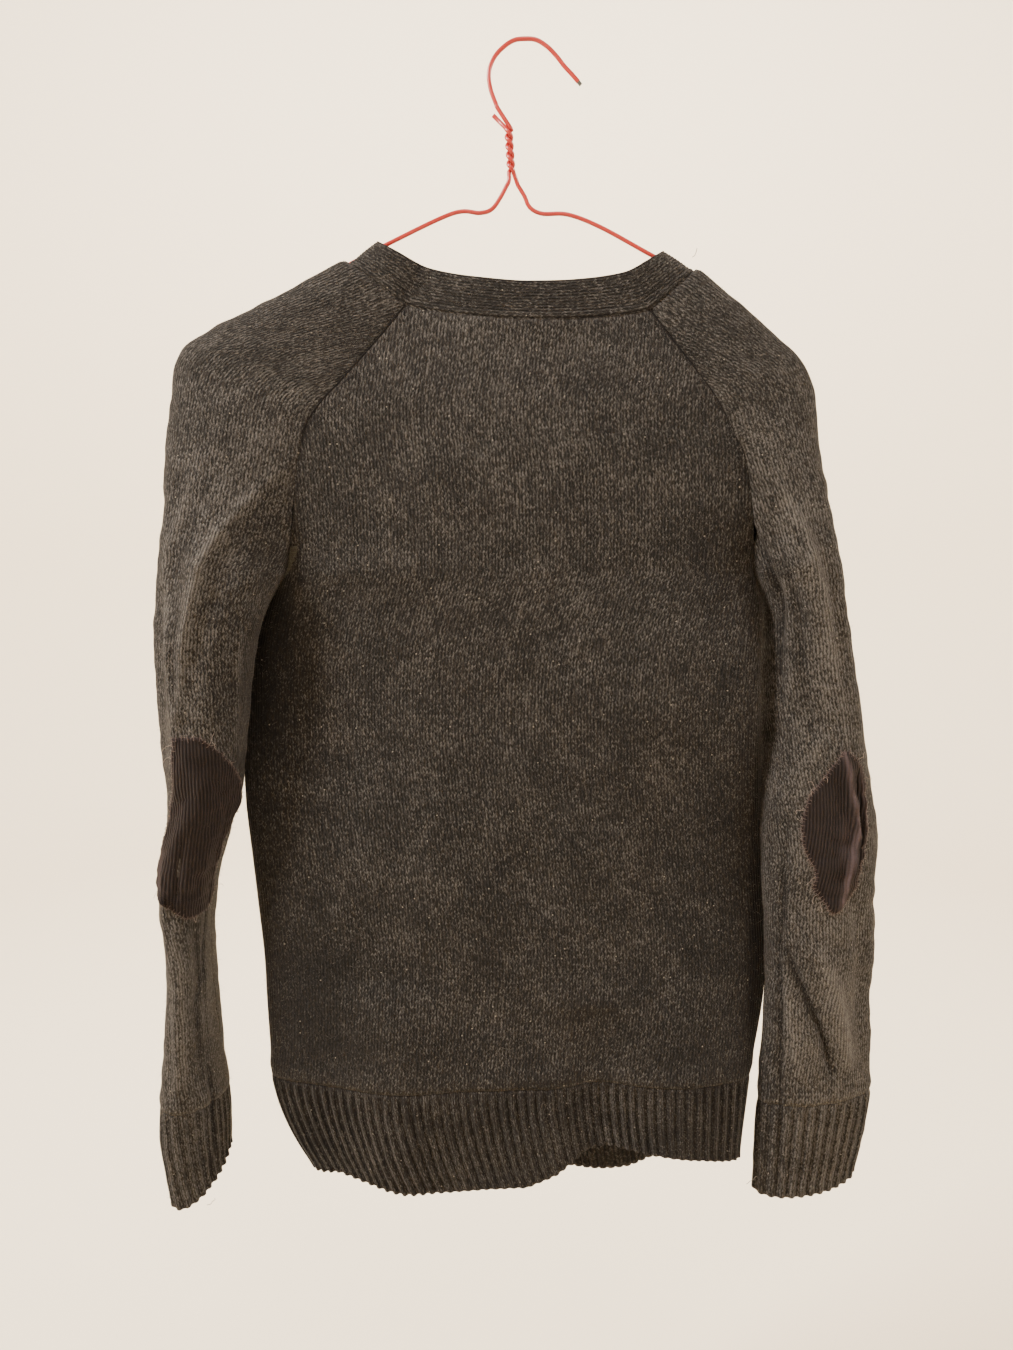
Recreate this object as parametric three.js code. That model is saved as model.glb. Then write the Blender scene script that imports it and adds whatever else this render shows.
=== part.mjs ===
// Darned wool pullover on a coated wire hanger, seen from behind as it hangs.
// Units are millimetres, +Z is up, +X is to the right of someone who looks at the back,
// and the back of the garment faces -Y. The origin is under the crest of the hook.
import * as THREE from 'three';

// Cloth and seams. Shares and leans have no unit.
const WALL = 2.2;
const RIB_WALL = 1.7;
const RIB_RISE = 1.2;
const SEAM_GAP = 0.3;
const CUFF_JOINT = 0.45;
const BAND_JOINT = 0.39;
const PANEL_COLUMNS = 22;
const SLEEVE_COLUMNS = 28;
const HEM_RIBS = 56;
const CUFF_RIBS = 24;
const SLEEVE_MIDDLE_SHARE = 0.45;
const BODY_MIDDLE = -13;
const SIDE_LEAN = 0.005;
const NECK_CENTRE_HEIGHT = -150;
const NECK_FLATNESS = 12;
const HEM_TOP = -720;
const V_POINT_HEIGHT = -320;

// Elbow patches
const PATCH_WALL = 1.3;
const LEFT_PATCH_LIFT = 2;
const RIGHT_PATCH_LIFT = 0.8;
const PATCH_STEPS_PER_ROW = 4;
const PATCH_COLUMNS = 18;

// Hanger wire
const WIRE_DIAMETER = 2.6;
const WIRE_SIDES = 8;
const CORNER_STATIONS = 8;
const TWIST_TURNS = 2.5;
const TWIST_RADIUS = 1.55;
const TWIST_TOP = -54;
const TWIST_BOTTOM = -82;
const TWIST_AXIS_TOP = -11;
const TWIST_AXIS_BOTTOM = -9;

// Raglan rows from the neckband down to the armpit. top is the fold over the shoulder,
// back and front are points of the two raglan seams, bows are how far the cloth rounds
// out behind and in front, and turn is how far round each half goes, in degrees.
const LEFT_RAGLAN = [
  { top: [-122, 0, -137.5], back: [-80, -9, -168], front: [-103, 9, -167], bows: [14, 13], turn: 100 },
  { top: [-152, 0, -153], back: [-96, -13, -188], front: [-112, 11, -183], bows: [17, 15], turn: 100 },
  { top: [-187, 0, -170], back: [-110, -16, -204], front: [-122, 13, -200], bows: [20, 18], turn: 100 },
  { top: [-216, 0, -184], back: [-125, -19, -221], front: [-132, 15, -219], bows: [23, 21], turn: 100 },
  { top: [-235, 0, -198], back: [-138, -21, -235], front: [-142, 17, -238], bows: [26, 24], turn: 100 },
  { top: [-243, 0, -223], back: [-148, -22, -252], front: [-150, 18, -259], bows: [28, 26], turn: 104 },
  { top: [-247, -2, -257], back: [-154, -22, -280], front: [-156, 18, -284], bows: [31, 29], turn: 115 },
  { top: [-249.5, -4, -298], back: [-159, -17, -316], front: [-161, 12, -318], bows: [34, 32], turn: 140 },
  { top: [-253.5, -6, -339], back: [-165, -4, -347], front: [-165, -4, -347], bows: [37, 35], turn: 180 },
];
const RIGHT_RAGLAN = [
  { top: [117, 0, -143], back: [84, -9, -171], front: [102, 9, -169], bows: [14, 13], turn: 100 },
  { top: [134, 0, -156], back: [97, -13, -189], front: [110, 11, -185], bows: [17, 15], turn: 100 },
  { top: [154, 0, -172], back: [108, -16, -203], front: [119, 13, -201], bows: [20, 18], turn: 100 },
  { top: [174, 0, -189], back: [119, -18, -217], front: [128, 15, -219], bows: [22, 20], turn: 100 },
  { top: [191, 0, -205], back: [128, -20, -230], front: [137, 17, -237], bows: [25, 23], turn: 100 },
  { top: [199.5, 0, -229], back: [138, -21, -248], front: [146, 18, -257], bows: [27, 25], turn: 104 },
  { top: [205, 0, -264], back: [149, -22, -270], front: [153, 18, -282], bows: [29, 27], turn: 115 },
  { top: [211, 0, -298], back: [157, -16, -312], front: [159, 14, -316], bows: [32, 30], turn: 140 },
  { top: [219, 0, -333], back: [162, 2, -348], front: [162, 2, -348], bows: [34, 32], turn: 180 },
];

// Sleeve rows from the armpit to the cuff: outer and inner edge of the hanging tube and
// how deep it is behind (back) and in front of the line between them. backDrop is how
// much lower the back half of an edge hangs.
const LEFT_SLEEVE = [
  { outer: [-255.5, -6, -367], inner: [-177, -10, -367], back: 38, front: 36 },
  { outer: [-257.5, -6, -396], inner: [-188, -12, -395], back: 39, front: 37 },
  { outer: [-257, -6, -431], inner: [-193, -12, -430], back: 40, front: 38 },
  { outer: [-255.5, -6, -471], inner: [-198, -12, -470], back: 41, front: 38 },
  { outer: [-254, -6, -508], inner: [-204, -10, -507], back: 41, front: 38 },
  { outer: [-256.5, -6, -534], inner: [-213, -8, -534], back: 40, front: 38 },
  { outer: [-261, -6, -564], inner: [-222, -6, -564], back: 39, front: 37 },
  { outer: [-262, -8, -590], inner: [-228, -4, -592], back: 38, front: 36 },
  { outer: [-258, -10, -621], inner: [-231, -2, -623], back: 37, front: 35 },
  { outer: [-260, -12, -662], inner: [-230, 0, -666], back: 36, front: 34 },
  { outer: [-264, -14, -700], inner: [-228, 2, -706], back: 34, front: 32 },
  { outer: [-267, -16, -735], inner: [-226, 4, -739], back: 32, front: 30 },
];
const LEFT_CUFF = [
  { outer: [-267, -16, -735], inner: [-226, 4, -739], back: 32, front: 30 },
  { outer: [-268, -18, -766], inner: [-225, 6, -764], back: 30, front: 28 },
  { outer: [-262, -20, -803], inner: [-226, 8, -791], back: 28, front: 26, backDrop: 14 },
];
const RIGHT_SLEEVE = [
  { outer: [225, 0, -368], inner: [172, 9, -372], back: 35, front: 33 },
  { outer: [232, 0, -403], inner: [171, 15, -408], back: 36, front: 34 },
  { outer: [240, 0, -440], inner: [171, 15, -445], back: 36, front: 34 },
  { outer: [247, 2, -480], inner: [174, 8, -485], back: 36, front: 33 },
  { outer: [257, 4, -522], inner: [173, 4, -522], back: 35, front: 32 },
  { outer: [260, 6, -549], inner: [174, 2, -552], back: 34, front: 31 },
  { outer: [260, 6, -592], inner: [177, 0, -589], back: 31, front: 28 },
  { outer: [261, 6, -631], inner: [179, -4, -626], back: 28, front: 26 },
  { outer: [260, 6, -670], inner: [179, -6, -665], back: 25, front: 23 },
  { outer: [262, 6, -711], inner: [178, -8, -703], back: 22, front: 20 },
  { outer: [265, 6, -739], inner: [176, -10, -740], back: 19, front: 17 },
];
const RIGHT_CUFF = [
  { outer: [265, 6, -739], inner: [176, -10, -740], back: 19, front: 17 },
  { outer: [263, 6, -768], inner: [175, -10, -770], back: 17, front: 15 },
  { outer: [256, 6, -808], inner: [175, -10, -812], back: 15, front: 13 },
];

// Body rows from the armpits down to the rib: side edges and depth of back and front
const BODY = [
  { height: -372, left: [-182, 13], right: [163, 0], back: 29, front: 24 },
  { height: -403, left: [-193, 18], right: [164, -3], back: 31, front: 22 },
  { height: -440, left: [-198, 19], right: [165, -5], back: 31, front: 22 },
  { height: -473, left: [-200.5, 15], right: [168, 1], back: 31, front: 22 },
  { height: -513, left: [-200, 6], right: [171, 11], back: 32, front: 23 },
  { height: -551, left: [-197, 2], right: [173, 14], back: 33, front: 23 },
  { height: -589, left: [-194, 0], right: [176.5, 15], back: 34, front: 23 },
  { height: -628, left: [-191, 0], right: [178, 11], back: 33, front: 25 },
  { height: -668, left: [-190, 0], right: [174, 5], back: 33, front: 27 },
  { height: HEM_TOP, left: [-188, 0], right: [168, -3], back: 34, front: 29 },
];
const HEM_LEFT_CURVE = 1.6;
const HEM_SIDE_FOLD = 0.7;
const HEM_BOTTOM = { left: [-158, 0], right: [164, -2], back: 38, front: 28 };

// Height of the free edge of the hem along the garment, from left (0) to right (1)
const BACK_HEM_EDGE = [
  { along: 0, height: -794 },
  { along: 0.07, height: -788 },
  { along: 0.14, height: -792 },
  { along: 0.22, height: -797 },
  { along: 0.36, height: -796 },
  { along: 0.5, height: -793 },
  { along: 0.57, height: -788 },
  { along: 0.63, height: -778 },
  { along: 0.68, height: -774 },
  { along: 0.8, height: -778 },
  { along: 0.9, height: -784 },
  { along: 1, height: -793 },
];
const FRONT_HEM_EDGE = [
  { along: 0, height: -794 },
  { along: 0.3, height: -801 },
  { along: 0.6, height: -808 },
  { along: 0.75, height: -808 },
  { along: 0.87, height: -802 },
  { along: 1, height: -793 },
];

// Soft folds of the body as ridges (positive rise) and troughs between two heights
const BODY_FOLDS = [
  { panel: -1, x: [-95, -88], height: [-640, -830], width: 34, rise: 10 },
  { panel: -1, x: [52, 62], height: [-660, -830], width: 26, rise: -12 },
  { panel: -1, x: [118, 122], height: [-640, -830], width: 24, rise: 3 },
  { panel: -1, x: [-110, -30], height: [-330, -600], width: 26, rise: 2.5 },
  { panel: -1, x: [112, 60], height: [-330, -560], width: 24, rise: 2.5 },
  { panel: 1, x: [60, 50], height: [-640, -830], width: 40, rise: -8 },
  { panel: 1, x: [-60, -80], height: [-560, -830], width: 34, rise: 5 },
];
// Soft folds of the sleeves: rows counted from the neckband, degrees round from the top
const LEFT_FOLDS = [
  { row: [6, 12.5], degrees: [-34, -40], width: 13, rise: 3.2 },
  { row: [6.5, 12.5], degrees: [-76, -62], width: 13, rise: 3.4 },
  { row: [7, 12.5], degrees: [-54, -52], width: 10, rise: -2.4 },
  { row: [8, 13], degrees: [60, 52], width: 14, rise: 3 },
  { row: [14, 20], degrees: [-60, -95], width: 15, rise: 3 },
  { row: [14, 20], degrees: [-95, -60], width: 12, rise: -2.4 },
];
const RIGHT_FOLDS = [
  { row: [6, 12.5], degrees: [-40, -44], width: 16, rise: 3 },
  { row: [9, 14], degrees: [-95, -80], width: 18, rise: -3 },
  { row: [14.5, 18.5], degrees: [-62, -30], width: 14, rise: -3.4 },
  { row: [14, 19], degrees: [-40, -12], width: 14, rise: 2.6 },
  { row: [8, 13], degrees: [50, 48], width: 15, rise: 3 },
];

// Elbow patches: where each row begins and ends round the sleeve, in degrees from the
// outer edge, negative towards the back
const LEFT_PATCH = [
  { row: 11.75, from: -112, to: -69 },
  { row: 12, from: -134, to: -68 },
  { row: 12.5, from: -163, to: -66 },
  { row: 13, from: -177, to: -59 },
  { row: 13.5, from: -175, to: -52 },
  { row: 14, from: -165, to: -41 },
  { row: 14.5, from: -166, to: -15 },
  { row: 14.75, from: -166, to: -9 },
  { row: 15, from: -166, to: -20 },
  { row: 15.25, from: -169, to: -43 },
  { row: 15.5, from: -171, to: -69 },
  { row: 15.75, from: -166, to: -100 },
];
const RIGHT_PATCH = [
  { row: 11.75, from: -74, to: -60 },
  { row: 12, from: -84, to: -50 },
  { row: 12.5, from: -110, to: -43 },
  { row: 13, from: -117, to: -50 },
  { row: 13.5, from: -118, to: -54 },
  { row: 14, from: -109, to: -58 },
  { row: 14.5, from: -107, to: -64 },
  { row: 14.75, from: -98, to: -74 },
  { row: 15, from: -90, to: -82 },
];

// Neckband: how the free edge stands from the seam, at the raglans, shoulders and point
const BAND_RISE = {
  backLeft: [10, 1, 25.5],
  backMiddle: [0, 2, 24],
  backRight: [-11, 1, 26],
  rightShoulder: [-23, 0, 11],
  rightFront: [-20.5, 0, 14],
  point: [0, 0, 44.5],
  leftFront: [20.5, 0, 14],
  leftShoulder: [22, 0, 12],
};

// Wire routes in the plane of the hanger, as x and height
const HOOK_ROUTE = [
  [37, -27], [31.5, -21], [26, -15.5], [20.5, -9], [14.5, -3.4], [7.5, 0.6], [0, 1.3],
  [-7.5, 0.3], [-14.5, -4], [-20.5, -10.5], [-23.8, -19.5], [-22.6, -30], [-18, -41.5],
];
const LEFT_NECK_ROUTE = [
  [-12, -90], [-16.5, -98], [-22, -105], [-30, -107.5], [-49, -108], [-95, -128.6],
];
const LEFT_CORNER = { centre: [-217, -200], radius: 8, from: 117, to: 270 };
const RIGHT_CORNER = { centre: [179, -213], radius: 8, from: -90, to: 50 };
const RIGHT_ARM = [[152, -177.6], [119, -151.8], [84, -133.6], [51, -116.5]];
const RIGHT_NECK_ROUTE = [[29, -108.5], [12, -108], [3.5, -104], [0, -97], [-4.5, -90]];
const HOOK_END = [[-10.3, -85], [-10.9, -88], [-11.85, -89.74]];
const CUT_END = [-21, -46];

const wool = { color: 0x4a443e, roughness: 0.95, metalness: 0 };
const ribWool = { color: 0x453f39, roughness: 0.95, metalness: 0 };
const corduroy = { color: 0x4a3833, roughness: 0.9, metalness: 0 };
const coatedWire = { color: 0xc6332b, roughness: 0.38, metalness: 0 };

const group = new THREE.Group();

function addPiece(name, geometry, finish) {
  const mesh = new THREE.Mesh(geometry, new THREE.MeshStandardMaterial({ ...finish }));
  mesh.name = name;
  group.add(mesh);
}

const vector = (values) => new THREE.Vector3(...values);
const mix = (a, b, t) => a + (b - a) * t;
const radians = THREE.MathUtils.degToRad;

// A value read from a table whose rows hold a rising key
function readTable(table, key, value, at) {
  const end = table.findIndex((row) => row[key] >= at);
  if (end === 0) return table[0][value];
  if (end < 0) return table[table.length - 1][value];
  const a = table[end - 1];
  const b = table[end];
  return mix(a[value], b[value], (at - a[key]) / (b[key] - a[key]));
}

// How much of a fold is felt at a distance across it and a fraction along it
function foldStrength(across, width, along) {
  if (along <= 0 || along >= 1) return 0;
  return Math.exp(-((across / width) ** 2)) * Math.sin(Math.PI * along) ** 0.6;
}

// Direction across the cloth at each point of a grid, pointing to the hint's side
function gridNormals(points, hint, closed) {
  const last = points.length - 1;
  return points.map((row, r) => row.map((point, c) => {
    const count = row.length;
    const before = closed ? row[(c + count - 1) % count] : row[Math.max(c - 1, 0)];
    const after = closed ? row[(c + 1) % count] : row[Math.min(c + 1, count - 1)];
    const below = points[Math.max(r - 1, 0)][c];
    const above = points[Math.min(r + 1, last)][c];
    const across = after.clone().sub(before);
    const along = above.clone().sub(below);
    const normal = across.cross(along).normalize();
    return normal.dot(hint(point, r, c)) < 0 ? normal.negate() : normal;
  }));
}

// A closed wall from matching grids of outer and inner points, with rims all round
function wallGeometry(outer, inner, closed = false) {
  const rows = outer.length;
  const columns = outer[0].length;
  const half = rows * columns;
  const positions = [...outer.flat(), ...inner.flat()].flatMap((p) => [p.x, p.y, p.z]);
  const a = outer[0][0];
  const facing = outer[0][1].clone().sub(a).cross(outer[1][0].clone().sub(a));
  const outward = facing.dot(a.clone().sub(inner[0][0])) > 0;
  const index = [];
  const quad = (p, q, r, s) => index.push(...(outward ? [p, q, r, p, r, s] : [p, r, q, p, s, r]));
  const steps = closed ? columns : columns - 1;
  for (let r = 0; r < rows - 1; r += 1) {
    for (let c = 0; c < steps; c += 1) {
      const next = (c + 1) % columns;
      const here = r * columns;
      const there = here + columns;
      quad(here + c, here + next, there + next, there + c);
      quad(half + here + c, half + there + c, half + there + next, half + here + next);
    }
    if (!closed) {
      const here = r * columns;
      const there = here + columns;
      quad(here, there, half + there, half + here);
      const end = columns - 1;
      quad(here + end, half + here + end, half + there + end, there + end);
    }
  }
  const top = (rows - 1) * columns;
  for (let c = 0; c < steps; c += 1) {
    const next = (c + 1) % columns;
    quad(c, half + c, half + next, next);
    quad(top + c, top + next, half + top + next, half + top + c);
  }
  const geometry = new THREE.BufferGeometry();
  geometry.setAttribute('position', new THREE.Float32BufferAttribute(positions, 3));
  geometry.setIndex(index);
  geometry.computeVertexNormals();
  return geometry;
}

// How the wall turns where sleeve, back and front meet at the armpit, and one row above
const ARMPIT_WALL = { in: 1.5, up: 4.6 };
const ARMPIT_GAP = { in: 0.9, across: 0.6, down: 0.45 };
const ABOVE_ARMPIT_WALL = { in: 0.5, up: 1 };

// The raglan seams: for each row the point, the way through the wall and the way
// towards the body panel. At the armpit all the pieces meet, so the wall mitres upwards.
function raglanSeam(rows, edge, side) {
  const facing = edge === 'back' ? 1 : -1;
  return rows.map((row, r) => {
    const point = vector(row[edge]);
    if (r === rows.length - 1) {
      return {
        point,
        inward: new THREE.Vector3(-side * ARMPIT_WALL.in, 0, ARMPIT_WALL.up),
        toBody: new THREE.Vector3(
          -side * ARMPIT_GAP.in,
          -facing * ARMPIT_GAP.across,
          -ARMPIT_GAP.down,
        ),
      };
    }
    const inward = new THREE.Vector3(0, facing * WALL, 0);
    if (r === rows.length - 2) {
      inward.x = -side * ABOVE_ARMPIT_WALL.in;
      inward.z = ABOVE_ARMPIT_WALL.up;
    }
    const tangent = vector(rows[r + 1][edge]).sub(vector(rows[Math.max(r - 1, 0)][edge]));
    const toBody = tangent.cross(inward).normalize();
    if (toBody.x * side > 0) toBody.negate();
    return { point, inward, toBody };
  });
}

const SEAMS = {
  leftBack: raglanSeam(LEFT_RAGLAN, 'back', -1),
  leftFront: raglanSeam(LEFT_RAGLAN, 'front', -1),
  rightBack: raglanSeam(RIGHT_RAGLAN, 'back', 1),
  rightFront: raglanSeam(RIGHT_RAGLAN, 'front', 1),
};

function seamEdge(seam, row, way) {
  const outer = seam[row].point.clone().addScaledVector(seam[row].toBody, (way * SEAM_GAP) / 2);
  return { outer, inner: outer.clone().add(seam[row].inward) };
}

// One half ring of a sleeve row: degrees run from -turn (back) over the top to turn
function sleevePoint(section, degrees) {
  const half = degrees < 0 ? 'back' : 'front';
  const seam = vector(section[half]);
  const top = vector(section.top);
  const bow = degrees < 0 ? -section.bows[0] : section.bows[1];
  const turn = radians(section.turn);
  const angle = radians(Math.abs(degrees));
  const share = (1 - Math.cos(angle)) / (1 - Math.cos(turn));
  const point = top.lerp(seam, share);
  point.y += bow * (Math.sin(angle) - Math.sin(turn) * share);
  if (degrees < 0) point.z -= (section.backDrop ?? 0) * Math.sin(angle);
  return point;
}

// The raglan rows and the tube rows as one list of sections of the same form
function sleeveSections(raglan, tube) {
  const rows = tube.map((row) => ({
    top: row.outer,
    back: row.inner,
    front: row.inner,
    bows: [row.back, row.front],
    turn: 180,
    backDrop: row.backDrop,
  }));
  return [...raglan, ...rows];
}

// Middle of a sleeve section, from which its wall faces away
function sleeveMiddle(section) {
  const middle = vector(section.top).lerp(vector(section.back), SLEEVE_MIDDLE_SHARE);
  middle.y = (section.top[1] + section.back[1]) / 4;
  return middle;
}

function sleeveRise(folds, row, degrees) {
  return folds.reduce((sum, fold) => {
    const along = (row - fold.row[0]) / (fold.row[1] - fold.row[0]);
    const across = degrees - mix(fold.degrees[0], fold.degrees[1], along);
    return sum + fold.rise * foldStrength(across, fold.width, along);
  }, 0);
}

function sleeveGrid(sections, folds, firstRow, columns) {
  return sections.map((section, r) => {
    const middle = sleeveMiddle(section);
    return Array.from({ length: columns + 1 }, (_, c) => {
      const degrees = mix(-section.turn, section.turn, c / columns);
      const point = sleevePoint(section, degrees);
      const out = point.clone().sub(middle).normalize();
      return point.addScaledVector(out, sleeveRise(folds, firstRow + r, degrees));
    });
  });
}

// Square across a tube row, so that rims at a joint of two pieces stay in one plane
function flattenRim(normal, axis) {
  return normal.addScaledVector(axis, -normal.dot(axis)).normalize();
}

function tubeAxis(section) {
  const across = vector(section.back).sub(vector(section.top));
  return across.cross(new THREE.Vector3(0, 1, 0)).normalize();
}

function buildSleeve(name, raglan, tube, folds, backSeam, frontSeam) {
  const sections = sleeveSections(raglan, tube);
  const outer = sleeveGrid(sections, folds, 0, SLEEVE_COLUMNS);
  const middles = sections.map(sleeveMiddle);
  const normals = gridNormals(outer, (point, r) => point.clone().sub(middles[r]));
  const inner = outer.map((row, r) => row.map((point, c) => {
    const normal = normals[r][c].clone();
    if (r === sections.length - 1) flattenRim(normal, tubeAxis(sections[r]));
    return point.clone().addScaledVector(normal, -WALL);
  }));
  sections.forEach((section, r) => {
    [[0, backSeam, -1], [SLEEVE_COLUMNS, frontSeam, 1]].forEach(([column, seam, side]) => {
      if (r < raglan.length) {
        const edge = seamEdge(seam, r, -1);
        outer[r][column] = edge.outer;
        inner[r][column] = edge.inner;
        return;
      }
      const through = vector(section.top).sub(vector(section.back)).normalize();
      outer[r][column].y = section.back[1] + (side * SEAM_GAP) / 2;
      inner[r][column] = outer[r][column].clone().addScaledVector(through, WALL);
      inner[r][column].y = outer[r][column].y;
    });
  });
  addPiece(name, wallGeometry(outer, inner), wool);
  return { outer, inner, normals };
}

// Ribbed tube: the outer points stand up and fall back twice a rib over a plain inside
function buildCuff(name, rows) {
  const sections = sleeveSections([], rows);
  const columns = CUFF_RIBS * 2;
  const middles = sections.map(sleeveMiddle);
  const base = sections.map((section) => Array.from({ length: columns }, (_, c) => (
    sleevePoint(section, mix(-180, 180, (c + 0.5) / columns)))));
  const axis = tubeAxis(sections[0]);
  if (axis.z > 0) axis.negate();
  base[0].forEach((point) => point.addScaledVector(axis, CUFF_JOINT));
  const normals = gridNormals(base, (point, r) => point.clone().sub(middles[r]), true);
  normals[0].forEach((normal) => flattenRim(normal, axis));
  const outer = base.map((row, r) => row.map((point, c) => (
    point.clone().addScaledVector(normals[r][c], c % 2 ? RIB_RISE / 2 : -RIB_RISE / 2))));
  const inner = base.map((row, r) => row.map((point, c) => (
    point.clone().addScaledVector(normals[r][c], -RIB_WALL - RIB_RISE / 2))));
  addPiece(name, wallGeometry(outer, inner, true), ribWool);
}

// One point of a body panel. fold is 1 where the side is a soft fold and 0 at a seam.
function panelPoint(row, side, along) {
  const cosine = (1 - Math.cos(Math.PI * along)) / 2;
  const share = mix(along, cosine, row.fold);
  const point = row.left.clone().lerp(row.right, share);
  const round = Math.sin(Math.PI * along) ** (1.5 - 0.95 * row.fold);
  point.y += side * row.bulge * round;
  const arch = row.pointed ? 1 - Math.abs(2 * share - 1) : Math.sin(Math.PI * share) ** 0.8;
  point.z -= row.dip * arch;
  return point;
}

function bodyRise(point, side) {
  return BODY_FOLDS.filter((fold) => fold.panel === side).reduce((sum, fold) => {
    const along = (point.z - fold.height[0]) / (fold.height[1] - fold.height[0]);
    const across = point.x - mix(fold.x[0], fold.x[1], along);
    return sum + fold.rise * foldStrength(across, fold.width, along);
  }, 0);
}

const UPPER_BULGE = { back: [8, 5, 4, 4, 4, 4, 5, 10, 25], front: [11, 9, 8, 7, 7, 7, 8, 13, 26] };
const UPPER_FOLD = [0, 0, 0, 0, 0, 0, 0.15, 0.5, 0.9];
const BACK_NECK_DIP = [9, 6, 3, 1, 0, 0, 0, 0, 0];

function panelRows(edge) {
  const leftSeam = edge === 'back' ? SEAMS.leftBack : SEAMS.leftFront;
  const rightSeam = edge === 'back' ? SEAMS.rightBack : SEAMS.rightFront;
  const last = leftSeam.length - 1;
  const armpit = leftSeam[last].point.z;
  const upper = leftSeam.map((seam, r) => {
    const left = seam.point;
    const right = rightSeam[r].point;
    const middle = mix(V_POINT_HEIGHT, armpit, r / last);
    const frontDip = r === last ? 0 : (left.z + right.z) / 2 - middle;
    return {
      left,
      right,
      fold: UPPER_FOLD[r],
      bulge: UPPER_BULGE[edge][r],
      pointed: edge === 'front',
      dip: edge === 'back' ? BACK_NECK_DIP[r] : frontDip,
    };
  });
  const lower = BODY.map((row) => ({
    left: new THREE.Vector3(row.left[0], row.left[1], row.height),
    right: new THREE.Vector3(row.right[0], row.right[1], row.height),
    fold: 1,
    bulge: row[edge],
    dip: 0,
    pointed: false,
  }));
  return [...upper, ...lower];
}

// Which way a panel faces at a point: to its own side, leaning out at the edges
function panelFacing(point, side) {
  return new THREE.Vector3((point.x - BODY_MIDDLE) * SIDE_LEAN, side, 0);
}

// Side edges of a panel or rib: square to the gap between back and front
function sideEdge(outer, inner, r, side, wall) {
  [0, outer[r].length - 1].forEach((column) => {
    const point = outer[r][column];
    point.y += (side * SEAM_GAP) / 2;
    inner[r][column] = point.clone();
    inner[r][column].x += column === 0 ? wall : -wall;
  });
}

function buildPanel(edge) {
  const side = edge === 'back' ? -1 : 1;
  const seams = edge === 'back'
    ? [SEAMS.leftBack, SEAMS.rightBack]
    : [SEAMS.leftFront, SEAMS.rightFront];
  const rows = panelRows(edge);
  const outer = rows.map((row) => Array.from({ length: PANEL_COLUMNS + 1 }, (_, c) => {
    const point = panelPoint(row, side, c / PANEL_COLUMNS);
    point.y += side * bodyRise(point, side);
    return point;
  }));
  const normals = gridNormals(outer, (point) => panelFacing(point, side));
  const inner = outer.map((row, r) => row.map((point, c) => {
    const normal = normals[r][c].clone();
    if (r === rows.length - 1) flattenRim(normal, new THREE.Vector3(0, 0, 1));
    return point.clone().addScaledVector(normal, -WALL);
  }));
  rows.forEach((_, r) => {
    if (r >= seams[0].length) {
      sideEdge(outer, inner, r, side, WALL);
      return;
    }
    [0, PANEL_COLUMNS].forEach((column, end) => {
      const join = seamEdge(seams[end], r, 1);
      outer[r][column] = join.outer;
      inner[r][column] = join.inner;
    });
  });
  addPiece(edge, wallGeometry(outer, inner), wool);
  return { outer, inner };
}

function buildHem(edge) {
  const side = edge === 'back' ? -1 : 1;
  const edgeTable = edge === 'back' ? BACK_HEM_EDGE : FRONT_HEM_EDGE;
  const topRow = BODY[BODY.length - 1];
  const columns = HEM_RIBS * 2;
  const between = (key, axis, down) => mix(topRow[key][axis], HEM_BOTTOM[key][axis], down);
  const base = [0, 0.5, 1].map((down) => {
    const leftX = between('left', 0, down ** HEM_LEFT_CURVE);
    const row = {
      left: new THREE.Vector3(leftX, between('left', 1, down), 0),
      right: new THREE.Vector3(between('right', 0, down), between('right', 1, down), 0),
      fold: HEM_SIDE_FOLD,
      bulge: mix(topRow[edge], HEM_BOTTOM[edge], down),
      dip: 0,
      pointed: false,
    };
    return Array.from({ length: columns + 1 }, (_, c) => {
      const point = panelPoint(row, side, c / columns);
      const across = (point.x - row.left.x) / (row.right.x - row.left.x);
      const bottom = readTable(edgeTable, 'along', 'height', across);
      point.z = mix(HEM_TOP - SEAM_GAP, bottom, down);
      point.y += side * bodyRise(point, side);
      return point;
    });
  });
  const up = new THREE.Vector3(0, 0, 1);
  const normals = gridNormals(base, (point) => panelFacing(point, side));
  normals[0].forEach((normal) => flattenRim(normal, up));
  const outer = base.map((row, r) => row.map((point, c) => (
    point.clone().addScaledVector(normals[r][c], c % 2 ? RIB_RISE / 2 : -RIB_RISE / 2))));
  const inner = base.map((row, r) => row.map((point, c) => (
    point.clone().addScaledVector(normals[r][c], -RIB_WALL - RIB_RISE / 2))));
  base.forEach((row, r) => {
    outer[r][0] = row[0].clone();
    outer[r][columns] = row[columns].clone();
    sideEdge(outer, inner, r, side, RIB_WALL + RIB_RISE / 2);
  });
  addPiece(`hem_rib_${edge}`, wallGeometry(outer, inner), ribWool);
}

// The loop of the neck seam, from the back's left raglan round by the right shoulder
function neckSeam(back, front, left, right) {
  const row = (piece, backwards) => {
    const points = piece.outer[0].map((outer, c) => ({ outer, inner: piece.inner[0][c] }));
    if (backwards) points.reverse();
    return points;
  };
  const ways = BAND_RISE;
  const parts = [
    { points: row(back, false), over: [ways.backLeft, ways.backMiddle, ways.backRight] },
    { points: row(right, false), over: [ways.backRight, ways.rightShoulder, ways.rightFront] },
    { points: row(front, true), over: [ways.rightFront, ways.point, ways.leftFront] },
    { points: row(left, true), over: [ways.leftFront, ways.leftShoulder, ways.backLeft] },
  ];
  return parts.flatMap((part) => {
    const count = part.points.length - 1;
    const [from, top, to] = part.over.map(vector);
    return part.points.slice(0, count).map(({ outer, inner }, c) => {
      const share = (2 * c) / count;
      const rise = share < 1 ? from.clone().lerp(top, share) : top.clone().lerp(to, share - 1);
      return { outer, inner, rise };
    });
  });
}

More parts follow.
